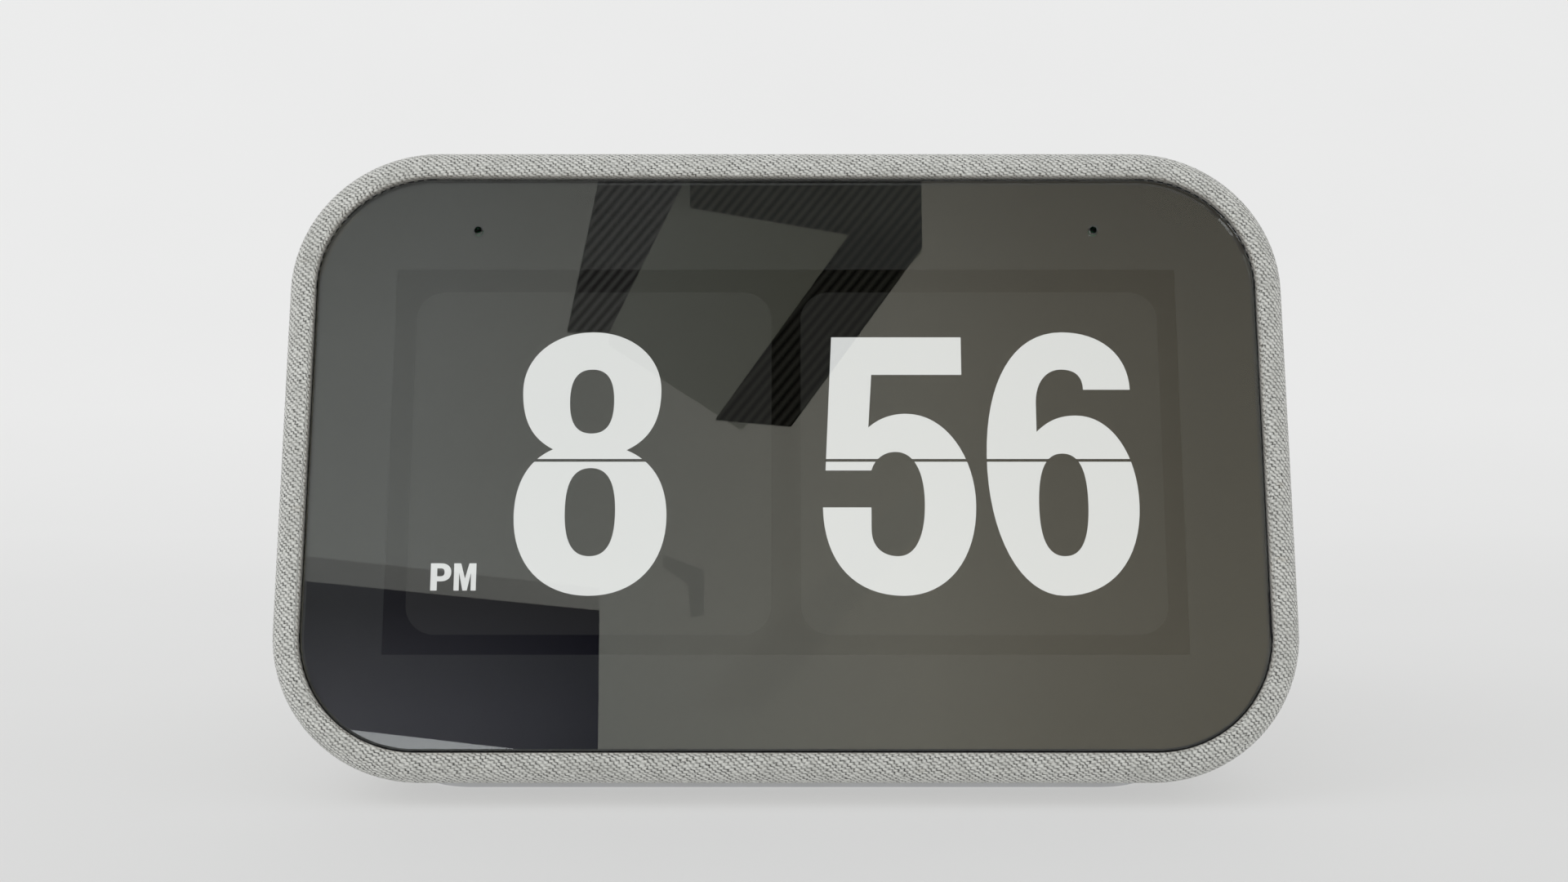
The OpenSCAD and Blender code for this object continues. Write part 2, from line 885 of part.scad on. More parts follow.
module radiator_place(side) {
    translate([side * box_w / 2, radiator_y, radiator_z]) rotate([0, side * 90, 0])
        children();
}

// Open-topped box on four legs, with a rimmed hole for a radiator in each end
module speaker_box() {
    color(black) difference() {
        union() {
            box_solid(box_w, 0, lid_z);
            for (side = [-1, 1])
                radiator_place(side) post(2 * radiator_rim_r, -box_wall, box_wall + radiator_rim);
            for (y = [leg_front_y, leg_back_y])
                translate([0, y, 0]) both_sides(leg_x)
                    post(leg_d, body_lift + inside, box_floor_z + 0.5 - body_lift - inside);
        }
        box_solid(box_w - 2 * box_wall, box_wall, lid_z + over);
        for (side = [-1, 1])
            radiator_place(side)
                post(2 * radiator_hole_r, -box_wall - over, box_wall + radiator_rim + 2 * over);
    }
}

module speaker_lid() {
    color(black) difference() {
        translate([-box_w / 2, box_front_y, lid_z])
            cube([box_w, box_back_y - box_front_y, lid_t]);
        translate([0, driver_y, 0])
            post(2 * flange_out_r + driver_room, lid_z - over, lid_t + 2 * over);
        translate([0, driver_y, 0]) at_corners(basket_screw, basket_screw)
            post(board_hole_d, lid_z - over, lid_t + 2 * over);
    }
}

module speaker_screws() {
    color("silver") translate([0, driver_y, 0]) at_corners(basket_screw, basket_screw)
        mirror([0, 0, 1]) screw(-driver_z - basket_t, board_screw_d, lid_t + basket_t);
}

// Square flange, a cone-shaped frame below it, and the ring that carries the magnet
module speaker_basket() {
    color("#3c3f42") translate([0, driver_y, driver_z]) {
        difference() {
            plate(driver_d, driver_d, basket_corner_r, 0, basket_t);
            post(2 * flange_out_r, -over, far);
            at_corners(basket_screw, basket_screw) post(board_hole_d, -over, far);
        }
        turned([
            [flange_out_r, 0], [flange_out_r, basket_t], [throat_r, basket_t],
            [throat_r, throat_z], [seat_r, -seat_z], [magnet_in_r + 0.2, -seat_z],
            [magnet_in_r + 0.2, -front_plate_top], [seat_r + 0.5, -front_plate_top]
        ]);
    }
}

module speaker_magnet() {
    color("#4a4c4e") translate([0, driver_y, driver_z]) turned([
        [magnet_in_r, -magnet_back], [seat_r, -magnet_back],
        [seat_r, -front_plate_back], [magnet_in_r, -front_plate_back]
    ]);
}

// Back plate and centre pole in one, with the front plate's ring above the magnet
module speaker_yoke() {
    color("silver") translate([0, driver_y, driver_z]) {
        turned([
            [0, -yoke_back], [front_plate_r, -yoke_back], [front_plate_r, -magnet_back],
            [pole_r, -magnet_back], [pole_r, -pole_top], [0, -pole_top]
        ]);
        turned([
            [gap_out_r, -front_plate_back], [front_plate_r, -front_plate_back],
            [front_plate_r, -front_plate_top], [gap_out_r, -front_plate_top]
        ]);
    }
}

// Half-round roll between two flat lips; inner_r is the inner lip's inner radius
module roll_ring(inner_r, z) {
    roll_mid = inner_r + lip_w + roll_r;
    translate([0, 0, z]) {
        turned([[inner_r, 0], [inner_r + lip_w, 0], [inner_r + lip_w, roll_t],
            [inner_r, roll_t]]);
        turned([[roll_mid + roll_r, 0], [roll_mid + roll_r + lip_w, 0],
            [roll_mid + roll_r + lip_w, roll_t], [roll_mid + roll_r, roll_t]]);
        rotate_extrude($fn = round_fn) translate([roll_mid, 0]) intersection() {
            difference() {
                circle(roll_r + 0.01, $fn = tube_fn);
                circle(roll_r - roll_t, $fn = tube_fn);
            }
            translate([-far / 2, 0]) square([far, far]);
        }
    }
}

module speaker_surround() {
    color("#222222") translate([0, driver_y, driver_z]) roll_ring(cone_r - lip_w, basket_t);
}

module speaker_spider() {
    color("#b98a3c") translate([0, driver_y, driver_z]) turned([
        [spider_in_r, -spider_back], [front_plate_r, -spider_back],
        [front_plate_r, -spider_top], [spider_in_r, -spider_top]
    ]);
}

module speaker_cone() {
    color("#2c2c2e") translate([0, driver_y, driver_z]) turned([
        [coil_r, -coil_top], [coil_out_r, -coil_top], [cone_r, cone_edge_z],
        [cone_r, basket_t], [cone_r - 1, basket_t], [coil_r, -neck_top]
    ]);
}

module voice_coil() {
    color("#b5652b") translate([0, driver_y, driver_z]) turned([
        [coil_r, -coil_back], [coil_out_r, -coil_back],
        [coil_out_r, -coil_top], [coil_r, -coil_top]
    ]);
}

module dust_cap() {
    ball_r = (cap_r * cap_r + cap_rise * cap_rise) / (2 * cap_rise);
    color("#2c2c2e") translate([0, driver_y, driver_z - neck_top])
        rotate_extrude($fn = round_fn) intersection() {
            translate([0, cap_rise - ball_r]) difference() {
                circle(ball_r, $fn = 2 * round_fn);
                circle(ball_r - roll_t, $fn = 2 * round_fn);
            }
            square([far, far]);
        }
}

module radiator_plate(side) {
    radiator_place(side) post(radiator_d, 0, radiator_rim);
}

module radiator_surround(side) {
    radiator_place(side) roll_ring(radiator_d / 2 - lip_w, radiator_rim);
}

module radiator_left_plate() {
    color("#5a5d60") radiator_plate(-1);
}

module radiator_left_surround() {
    color("#222222") radiator_surround(-1);
}

module radiator_right_plate() {
    color("#5a5d60") radiator_plate(1);
}

module radiator_right_surround() {
    color("#222222") radiator_surround(1);
}

fabric_cover();
front_frame();
rear_housing();
port_panel();
base_plate();
rubber_foot();
base_screws();
cover_glass();
border_print();
glass_tape();
touch_film();
lcd_cell();
light_guide();
backlight_tray();
display_bracket();
display_screws();
display_ribbon();
mic_boards();
mic_seals();
volume_up_button();
volume_down_button();
volume_up_plunger();
volume_down_plunger();
volume_switches();
button_board();
button_screws();
button_ribbon();
mute_knob();
mute_switch();
mute_mark();
port_board();
usb_shell();
usb_tongue();
dc_jack_body();
dc_jack_pin();
main_board();
processor();
memory_chips();
shield_can();
thermal_pad();
heat_spreader();
board_connectors();
board_screws();
antennas();
speaker_box();
speaker_lid();
speaker_screws();
speaker_basket();
speaker_magnet();
speaker_yoke();
speaker_surround();
speaker_spider();
speaker_cone();
voice_coil();
dust_cap();
radiator_left_plate();
radiator_left_surround();
radiator_right_plate();
radiator_right_surround();
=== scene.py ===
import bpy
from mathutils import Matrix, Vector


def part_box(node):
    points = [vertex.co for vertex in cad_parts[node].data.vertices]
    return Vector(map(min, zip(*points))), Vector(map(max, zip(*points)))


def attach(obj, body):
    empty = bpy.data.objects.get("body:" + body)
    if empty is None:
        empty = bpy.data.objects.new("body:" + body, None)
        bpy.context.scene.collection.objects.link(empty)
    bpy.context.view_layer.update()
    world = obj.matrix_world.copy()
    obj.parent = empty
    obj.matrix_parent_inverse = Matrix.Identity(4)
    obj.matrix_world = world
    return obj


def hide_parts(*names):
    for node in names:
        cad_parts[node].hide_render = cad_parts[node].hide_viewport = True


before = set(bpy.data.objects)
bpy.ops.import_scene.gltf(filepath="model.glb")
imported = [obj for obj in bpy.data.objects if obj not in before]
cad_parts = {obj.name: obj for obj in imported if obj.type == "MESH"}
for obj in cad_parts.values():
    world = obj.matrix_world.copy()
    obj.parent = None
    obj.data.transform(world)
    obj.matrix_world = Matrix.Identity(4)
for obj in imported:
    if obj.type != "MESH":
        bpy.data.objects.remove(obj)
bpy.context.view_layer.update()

# ---- Setting ----
# The clock stands on a pale sweep of acrylic, lit softly from beneath, that curves up behind it.
# One wide soft light hangs over it to the left and the room is evenly bright. The viewer looks at
# the face from straight in front, a little above the middle of the glass.
from math import acos, asin, atan2, copysign, cos, hypot, pi, radians, sin

import bmesh
import bpy
from mathutils import Matrix, Vector

MM = 0.001
FACE_TILT = radians(20)
GLASS_DEPTH, GLASS_DROP = 0.95, 0.4
glass_low, glass_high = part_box("cover_glass")
face_out = Vector((0, -cos(FACE_TILT), sin(FACE_TILT)))
face_up = Vector((0, sin(FACE_TILT), cos(FACE_TILT)))
glass_middle = (glass_low + glass_high) / 2 + face_out * GLASS_DEPTH * MM


def standing(origin, up, out):
    """Places a piece made flat in millimetres: its y runs along up and its z along out."""
    turn = Matrix((up.cross(out), up, out)).transposed().to_4x4()
    return Matrix.Translation(origin) @ turn @ Matrix.Scale(MM, 4)


GLASS = standing(glass_middle, face_up, face_out)
FACE = standing(glass_middle + face_up * GLASS_DROP * MM, face_up, face_out)

LOOK_DOWN = radians(5)
VIEW_RANGE = 282
SENSOR_W, LENS = 36, 57.9
view_point = Vector((-0.2, 1.69, 0))
look = Vector((0, cos(LOOK_DOWN), -sin(LOOK_DOWN)))
eye = GLASS @ view_point - look * VIEW_RANGE * MM
camera = bpy.data.objects.new("camera", bpy.data.cameras.new("camera"))
bpy.context.scene.collection.objects.link(camera)
camera.data.sensor_width = SENSOR_W
camera.data.lens = LENS
camera.data.clip_start = 0.01
camera.matrix_world = Matrix.Translation(eye) @ look.to_track_quat("-Z", "Y").to_matrix().to_4x4()
bpy.context.scene.camera = camera
bpy.context.scene.view_settings.view_transform = "Standard"


class Value:
    """One output of a finish's nodes. Arithmetic on it adds Math nodes."""

    def __init__(self, finish, socket):
        self.finish, self.socket = finish, socket

    def maths(self, operation, *terms):
        return self.finish.node("ShaderNodeMath", {"operation": operation}, dict(enumerate(terms)))

    def __add__(self, other):
        return self.maths("ADD", self, other)

    def __sub__(self, other):
        return self.maths("SUBTRACT", self, other)

    def __rsub__(self, other):
        return self.maths("SUBTRACT", other, self)

    def __mul__(self, other):
        return self.maths("MULTIPLY", self, other)

    def __truediv__(self, other):
        return self.maths("DIVIDE", self, other)

    def __gt__(self, other):
        return self.maths("GREATER_THAN", self, other)

    def __lt__(self, other):
        return self.maths("LESS_THAN", self, other)

    __radd__, __rmul__ = __add__, __mul__

    def limited(self):
        return self.maths("MAXIMUM", self.maths("MINIMUM", self, 1.0), 0.0)

    def rounded_down(self):
        return self.maths("FLOOR", self)

    def wave(self):
        return self.maths("SINE", self)

    def __abs__(self):
        return self.maths("ABSOLUTE", self)


class Finish:
    """A material and the one way its nodes are added."""

    def __init__(self, name, **fixed):
        self.material = bpy.data.materials.new(name)
        self.material.use_nodes = True
        self.tree = self.material.node_tree
        self.shader = self.tree.nodes["Principled BSDF"]
        self.fix(**fixed)

    def fix(self, **fixed):
        for name, value in fixed.items():
            socket = self.shader.inputs[name.replace("_", " ").title().replace("Ior", "IOR")]
            socket.default_value = (*value, 1) if isinstance(value, tuple) else value

    def feed(self, socket, value):
        if isinstance(value, Value):
            self.tree.links.new(value.socket, socket)
        elif isinstance(value, tuple) and len(value) == 3 and socket.type == "RGBA":
            socket.default_value = (*value, 1)
        else:
            socket.default_value = value

    def node(self, kind, settings=None, inputs=None, output=0):
        node = self.tree.nodes.new(kind)
        for name, value in (settings or {}).items():
            if name == "stops":
                ramp = node.color_ramp
                ramp.elements[0].position, ramp.elements[1].position = value[0][0], value[-1][0]
                for place, _ in value[1:-1]:
                    ramp.elements.new(place)
                for element, (_, colour) in zip(ramp.elements, value):
                    element.color = (*colour, 1)
            else:
                setattr(node, name, value)
        for name, value in (inputs or {}).items():
            self.feed(node.inputs[name], value)
        return Value(self, node.outputs[output])

    def place(self, scale=(1, 1, 1), turn=(0, 0, 0), centre=(0, 0, 0), uv=None):
        """Object coordinates in millimetres, or the named UV map, moved, turned and stretched."""
        if uv:
            source = self.node("ShaderNodeUVMap", {"uv_map": uv})
        else:
            source = self.node("ShaderNodeTexCoord", output="Object")
            scale = tuple(1000 * s for s in scale)
        return self.node("ShaderNodeMapping", None, {"Vector": source, "Scale": scale,
                                                     "Rotation": turn, "Location": centre})

    def noise(self, where, scale, detail=2.0, roughness=0.5):
        return self.node("ShaderNodeTexNoise", None, {"Vector": where, "Scale": scale,
                                                      "Detail": detail, "Roughness": roughness})

    def cells(self, where, scale, spread=1.0, feature="F1"):
        return self.node("ShaderNodeTexVoronoi", {"feature": feature},
                         {"Vector": where, "Scale": scale, "Randomness": spread}, "Distance")

    def ramp(self, factor, *stops):
        return self.node("ShaderNodeValToRGB", {"stops": stops}, {"Fac": factor})

    def mix(self, factor, first, second, blend="MIX"):
        return self.node("ShaderNodeMix", {"data_type": "RGBA", "blend_type": blend},
                         {"Factor": factor, 6: first, 7: second}, 2)

    def spread(self, **sockets):
        for name, value in sockets.items():
            self.feed(self.shader.inputs[name.replace("_", " ").title()], value)
        return self

    def bump(self, height, depth, strength=0.6):
        """Bumps of the given depth in millimetres."""
        self.feed(self.shader.inputs["Normal"], self.node(
            "ShaderNodeBump", None, {"Height": height, "Distance": depth * MM, "Strength": strength}))
        return self


def make_piece(bm, name, finish, place=None, smooth=True):
    """Turns a finished bmesh into an object whose own place is the origin."""
    if place is not None:
        bm.transform(place)
    bmesh.ops.recalc_face_normals(bm, faces=bm.faces)
    for face in bm.faces:
        face.smooth = smooth
    mesh = bpy.data.meshes.new(name)
    bm.to_mesh(mesh)
    bm.free()
    piece = bpy.data.objects.new(name, mesh)
    bpy.context.scene.collection.objects.link(piece)
    mesh.materials.append(finish.material)
    return piece


SWEEP_W, SWEEP_FRONT, SWEEP_FLAT, SWEEP_R, SWEEP_TOP = 3.2, -1.6, 0.2, 0.3, 1.6
sweep = bmesh.new()
front_edge = bmesh.ops.create_grid(sweep, x_segments=1, y_segments=1, size=SWEEP_W / 2)["verts"]
for corner in front_edge:
    corner.co.y = SWEEP_FLAT if corner.co.y > 0 else SWEEP_FRONT
rear_edge = [e for e in sweep.edges if all(v.co.y > 0 for v in e.verts)]
curve = bmesh.ops.spin(sweep, geom=rear_edge, cent=(0, SWEEP_FLAT, SWEEP_R), axis=(1, 0, 0),
                       angle=radians(90), steps=24, use_duplicate=False)["geom_last"]
wall = bmesh.ops.extrude_edge_only(sweep, edges=[e for e in curve if isinstance(e, bmesh.types.BMEdge)])
bmesh.ops.translate(sweep, verts=[v for v in wall["geom"] if isinstance(v, bmesh.types.BMVert)],
                    vec=(0, 0, SWEEP_TOP))
acrylic = Finish("lit_acrylic", roughness=0.75, specular_ior_level=0.2, emission_strength=1)
milkiness = acrylic.noise(acrylic.place(), 0.02, 3)
acrylic.spread(base_color=acrylic.mix(milkiness, (0.27, 0.27, 0.268), (0.29, 0.29, 0.288)))
in_metres = acrylic.place((MM, MM, MM))
depth, rise = (acrylic.node("ShaderNodeSeparateXYZ", None, {"Vector": in_metres}, axis)
               for axis in (1, 2))
# Painted light: the sweep glows, graded by position from darker at the front to brighter up the curve and
# the wall.
GLOW_FRONT, GLOW_RUN = 0.15, 0.9
acrylic.spread(emission_color=acrylic.ramp(
    ((depth + rise + GLOW_FRONT) / GLOW_RUN).limited(), (0.0, (0.425, 0.425, 0.423)),
    (0.30, (0.475, 0.475, 0.473)), (0.42, (0.515, 0.515, 0.513)), (0.52, (0.56, 0.56, 0.558)),
    (1.0, (0.60, 0.60, 0.60))))
sweep_sheet = make_piece(sweep, "paper_sweep", acrylic)

world = bpy.data.worlds.new("room")
bpy.context.scene.world = world
world.use_nodes = True
world.node_tree.nodes["Background"].inputs["Color"].default_value = (0.97, 0.985, 1.0, 1)
world.node_tree.nodes["Background"].inputs["Strength"].default_value = 0.78

LIGHT_SPOT, LIGHT_AIM, LIGHT_W = Vector((-1.0, -0.35, 1.15)), Vector((0, 0, 0.03)), 0.9
lamp = bpy.data.lights.new("key_light", "AREA")
lamp.shape, lamp.size, lamp.size_y, lamp.energy = "RECTANGLE", LIGHT_W, LIGHT_W, 3
key_light = bpy.data.objects.new("key_light", lamp)
bpy.context.scene.collection.objects.link(key_light)
key_light.matrix_world = (Matrix.Translation(LIGHT_SPOT)
                          @ (LIGHT_AIM - LIGHT_SPOT).to_track_quat("-Z", "Y").to_matrix().to_4x4())

# ---- Cards ----
# Pale and dark studio cards hang in front of the clock and above the viewer, where the polished
# glass mirrors them. Each is cut to the outline that its mirror image has on the glass.
CARD_REACH, TONE_REACH = 4.2, 50
RIB_LEAN, RIB_TURN = 1.25, 4.1
mirror_eye = Vector((view_point.x, view_point.y - VIEW_RANGE * sin(FACE_TILT - LOOK_DOWN),
                     -VIEW_RANGE * cos(FACE_TILT - LOOK_DOWN)))


def on_ramp(place):
    """Turns a place in millimetres on the glass into one on a colour ramp, from 0 to 1."""
    return (place + TONE_REACH) / (2 * TONE_REACH)


def card(name, outline, tones, nearer=0.0, heights=((-50, 1.0), (50, 1.0)), ribs=0.0):
    """A glowing card whose mirror image fills the outline, given in millimetres on the glass.

    Its tones are listed by x and its strength by y, both on the glass. Ribs darken it in stripes.
    """
    bm = bmesh.new()
    spots = [mirror_eye + (Vector((x, y, 0)) - mirror_eye) * (CARD_REACH - nearer) for x, y in outline]
    face = bm.faces.new([bm.verts.new(spot) for spot in spots])
    on_glass = bm.loops.layers.uv.new("on_glass")
    for corner, spot in zip(face.loops, outline):
        corner[on_glass].uv = spot
    finish = Finish(name + "_glow", base_color=(0, 0, 0), roughness=1, specular_ior_level=0)
    finish.fix(emission_strength=1)
    x, y = (finish.node("ShaderNodeSeparateXYZ", None, {"Vector": finish.place(uv="on_glass")}, axis)
            for axis in (0, 1))
    tone = finish.ramp(on_ramp(x), *[(on_ramp(place), colour) for place, colour in tones])
    strength = finish.ramp(on_ramp(y), *[(on_ramp(place), (share,) * 3) for place, share in heights])
    if ribs:
        stripe = ((x * RIB_LEAN - y) * RIB_TURN).wave()
        strength = finish.mix((stripe * 0.5 + 0.5) * ribs, strength, (0.0, 0.0, 0.0))
    finish.spread(emission_color=finish.mix(1.0, tone, strength, "MULTIPLY"))
    make_piece(bm, name, finish, GLASS, smooth=False)


card("pale_card", [(-75, -50), (75, -50), (75, 50), (-75, 50)],
     ((-40, (1.34, 1.38, 1.32)), (-24, (1.22, 1.24, 1.14)), (15, (1.30, 1.24, 1.04)),
      (30, (1.12, 1.04, 0.84)), (48, (0.98, 0.90, 0.71))),
     heights=((-34, 1.04), (-22, 1.06), (-4, 0.96), (12, 0.87), (24, 0.75), (32, 0.66)))
card("grey_card", [(-20, 36), (15.5, 36), (15.5, 24), (-5, 3), (-20, 13)],
     ((-20, (0.62, 0.64, 0.56)), (8, (0.46, 0.46, 0.36))), 0.02, heights=((4, 1.2), (28, 1.0), (33, 0.6)))
card("left_flag", [(-21, 36), (-10.2, 36), (-20, 14.5), (-24.8, 14.5)],
     ((-30, (0.34, 0.34, 0.32)), (0, (0.34, 0.34, 0.32))), 0.04, ribs=0.7)
card("right_flag",
     [(-11, 36), (15.6, 36), (15.6, 24.6), (0.6, 3.4), (-8, 4.2), (7.2, 26.2), (-11, 29.5)],
     ((-10, (0.22, 0.22, 0.18)), (15, (0.20, 0.20, 0.16))), 0.04, ribs=0.8,
     heights=((25, 0.6), (29, 1.0)))
card("low_flag", [(-75, -12), (-20.5, -17.5), (-20.2, -50), (-75, -50)],
     ((-48, (0.44, 0.44, 0.52)), (-35, (0.31, 0.31, 0.39)), (-20, (0.12, 0.12, 0.18))), 0.05,
     heights=((-29, 1.0), (-17, 0.40)))
card("low_band", [(-75, -9), (-20.5, -15), (-20.5, -18), (-75, -13)],
     ((-48, (0.92, 0.93, 0.90)), (-20, (0.98, 0.98, 0.90))), 0.04)
card("arm_flag", [(13.7, -3.7), (16, -7.4), (-3, -29), (-9.7, -28.2)],
     ((-10, (1.26, 1.24, 1.10)), (15, (1.22, 1.18, 1.0))), 0.04)
card("side_flag",
     [(-13.6, -11.2), (-9, -13.0), (-9, -18.0), (-10.4, -18.4), (-10.8, -14.6), (-13.6, -12.6)],
     ((-14, (1.0, 1.0, 0.9)), (-8, (1.0, 1.0, 0.9))), 0.04)
card("white_strip", [(-75, -27.5), (-24, -33.4), (-24, -50), (-75, -50)],
     ((-50, (3.2, 3.3, 3.4)), (-24, (3.2, 3.3, 3.4))), 0.06)

# ---- Shells ----
# The front frame and the rear housing are moulded black plastic, with the fine, slightly shiny
# pebbling of a spark-eroded mould. They clip together behind the glass and carry everything else.


def dress(finish, *nodes):
    """Gives CAD nodes a finish."""
    for name in nodes:
        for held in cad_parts[name].material_slots:
            held.material = finish.material


def moulded(name, colour, gloss=0.5, grain=1.0, depth=0.03):
    """Moulded plastic: cloudy pigment and the mould's grain."""
    finish = Finish(name, roughness=gloss)
    where = finish.place()
    clouds = finish.noise(where, 0.12, 3)
    pebbles = finish.cells(where, 3.2 / grain)
    darker, lighter = (tuple(c * share for c in colour) for share in (0.88, 1.12))
    finish.spread(base_color=finish.mix(clouds, darker, lighter),
                  roughness=pebbles * 0.12 + (gloss - 0.04))
    return finish.bump(pebbles, depth, 0.5)


shell_plastic = moulded("shell_plastic", (0.018, 0.018, 0.019), 0.5)
dress(shell_plastic, "front_frame", "rear_housing")

# ---- Screws ----
# Every screw is a plated steel cross-head, turned and rolled bright, with faint rings on the head.


def metal(name, colour, gloss=0.3, lines=(0.05, 3.0, 3.0), depth=0.01):
    """Bare or plated metal with fine lines drawn along it and cloudy plating."""
    finish = Finish(name, metallic=1)
    drawn = finish.noise(finish.place(lines), 2.0, 4)
    cloudy = finish.noise(finish.place(), 0.25, 2)
    duller = tuple(c * 0.82 for c in colour)
    finish.spread(base_color=finish.mix(cloudy, duller, colour), roughness=drawn * 0.18 + (gloss - 0.09))
    return finish.bump(drawn, depth, 0.4)


screw_steel = metal("screw_steel", (0.62, 0.63, 0.64), 0.28, (2.0, 2.0, 0.3))
dress(screw_steel, "base_screws", "display_screws", "button_screws", "board_screws", "speaker_screws")

# ---- Base plate ----
# A flat black plate closes the underside. It carries the main board on four standoffs and is
# screwed up into the rear housing.
dress(moulded("base_plastic", (0.022, 0.022, 0.023), 0.55, 0.8, 0.04), "base_plate")

# ---- Circuit boards ----
# Green solder mask over etched copper: fine traces on a square grid, round tinned pads and a
# slightly wavy, glossy surface. The same laminate is used for every board.


def laminate(name, turn=(0, 0, 0), pitch=1.3):
    finish = Finish(name, roughness=0.32, specular_ior_level=0.5)
    where = finish.place(turn=turn)
    blocks = finish.node("ShaderNodeTexBrick", {"offset": 0.35, "squash": 1.6, "squash_frequency": 3},
                         {"Vector": where, "Scale": 1 / pitch, "Mortar Size": 0.09,
                          "Mortar Smooth": 0.2, "Color1": (0, 0, 0), "Color2": (0, 0, 0),
                          "Mortar": (1, 1, 1)})
    routes = finish.noise(where, 0.16, 1) > 0.48
    traces = blocks * routes
    pads = finish.cells(where, 0.42) < 0.2
    mask = finish.mix(traces, (0.012, 0.085, 0.038), (0.03, 0.16, 0.07))
    finish.spread(base_color=finish.mix(pads, mask, (0.55, 0.54, 0.50)), metallic=pads * 0.9)
    return finish.bump(traces + pads, 0.035, 0.6)


flat_board = laminate("flat_board")
dress(flat_board, "main_board", "mic_boards")
dress(laminate("button_board_laminate", (radians(18), 0, 0)), "button_board")
dress(laminate("port_board_laminate", (radians(-75), 0, 0)), "port_board")

# ---- Chips ----
# Black epoxy packages with a matt top, a fine sandy fill and the round dimple of pin one.
epoxy = Finish("chip_epoxy", roughness=0.6)
sand = epoxy.noise(epoxy.place(), 6.0, 4)
cast = epoxy.noise(epoxy.place(), 0.2, 2)
epoxy.spread(base_color=epoxy.mix(cast, (0.012, 0.012, 0.013), (0.03, 0.03, 0.031)),
             roughness=sand * 0.25 + 0.42)
epoxy.bump(sand, 0.02, 0.4)
dress(epoxy, "processor", "memory_chips")

# ---- Shield and heat spreader ----
# A drawn tin-plated can covers the radio and the processor. A soft grey pad joins the processor to
# it, and a stamped aluminium sheet on top spreads the heat.
dress(metal("tin_plate", (0.70, 0.70, 0.68), 0.34, (3.0, 0.05, 3.0)), "shield_can", "backlight_tray",
      "display_bracket")
dress(metal("spreader_aluminium", (0.78, 0.79, 0.80), 0.42, (0.04, 3.0, 3.0), 0.02), "heat_spreader")
gap_pad = Finish("gap_pad", roughness=0.8)
fill = gap_pad.cells(gap_pad.place(), 2.2)
gap_pad.spread(base_color=gap_pad.mix(fill, (0.30, 0.36, 0.42), (0.40, 0.46, 0.52)))
dress(gap_pad.bump(fill, 0.04, 0.5), "thermal_pad")

# ---- Connectors ----
# Ivory nylon sockets with a row of contacts, soldered to the main board for the ribbons.
nylon = Finish("connector_nylon", roughness=0.45)
ways = (nylon.node("ShaderNodeSeparateXYZ", None, {0: nylon.place((6.3, 6.3, 6.3))}).wave()
        > 0.55)
nylon.spread(base_color=nylon.mix(ways, (0.74, 0.70, 0.60), (0.60, 0.50, 0.30)),
             metallic=ways * 0.8)
dress(nylon.bump(nylon.noise(nylon.place(), 3.0, 2), 0.02, 0.3), "board_connectors")

# ---- Ribbons and antennas ----
# Amber polyimide film with rows of copper conductors showing through it.
polyimide = Finish("polyimide_film", roughness=0.28)
rows = polyimide.node("ShaderNodeSeparateXYZ", None, {0: polyimide.place((9.0, 9.0, 9.0))}).wave()
copper_rows = (rows + 0.2).limited()
haze = polyimide.noise(polyimide.place(), 0.3, 3)
film_tone = polyimide.mix(haze, (0.42, 0.17, 0.03), (0.55, 0.26, 0.06))
polyimide.spread(base_color=polyimide.mix(copper_rows * 0.6, film_tone, (0.75, 0.42, 0.20)),
                 metallic=copper_rows * 0.5)
dress(polyimide.bump(copper_rows, 0.02, 0.5), "display_ribbon", "button_ribbon", "antennas")

# ---- Speaker box ----
# A stepped black box stands on four legs over the main board and gives the driver its air. A lid
# closes it and holds the driver, and a passive radiator breathes through each end.
dress(moulded("box_plastic", (0.02, 0.02, 0.021), 0.6, 1.3, 0.05), "speaker_box", "speaker_lid")

# ---- Driver ----
# Pressed steel basket, a grey ferrite ring between zinc-plated pole pieces, and a copper coil on
# a paper cone. A rubber roll and an amber cloth spider let the cone move.
dress(metal("basket_steel", (0.20, 0.21, 0.22), 0.45), "speaker_basket")
dress(metal("zinc_plate", (0.66, 0.65, 0.60), 0.3), "speaker_yoke")
ferrite = Finish("ferrite", roughness=0.62)
grit = ferrite.noise(ferrite.place(), 5.0, 5)
ferrite.spread(base_color=ferrite.mix(grit, (0.035, 0.036, 0.038), (0.085, 0.086, 0.09)),
               roughness=grit * 0.3 + 0.45)
dress(ferrite.bump(grit, 0.05, 0.5), "speaker_magnet")
winding = Finish("coil_winding", metallic=0.9, roughness=0.3)
turns = winding.node("ShaderNodeSeparateXYZ", None, {0: winding.place((1, 1, 31))}, 2).wave()
winding.spread(base_color=winding.mix((turns + 1) * 0.5, (0.42, 0.16, 0.06), (0.86, 0.42, 0.22)))
dress(winding.bump(turns, 0.05, 0.8), "voice_coil")
cone_paper = Finish("cone_paper", roughness=0.85)
fibre = cone_paper.noise(cone_paper.place((1.0, 1.0, 3.0)), 2.6, 6, 0.7)
cone_paper.spread(base_color=cone_paper.mix(fibre, (0.018, 0.018, 0.02), (0.055, 0.055, 0.06)))
dress(cone_paper.bump(fibre, 0.08, 0.6), "speaker_cone", "dust_cap")
spider = Finish("spider_cloth", roughness=0.9)
threads = spider.place((5.0, 5.0, 5.0))
warp = spider.node("ShaderNodeSeparateXYZ", None, {0: threads}).wave()
weft = spider.node("ShaderNodeSeparateXYZ", None, {0: threads}, 1).wave()
spider.spread(base_color=spider.mix((warp + weft) * 0.25 + 0.5, (0.36, 0.20, 0.06), (0.66, 0.44, 0.18)))
dress(spider.bump(warp + weft, 0.1, 0.7), "speaker_spider")


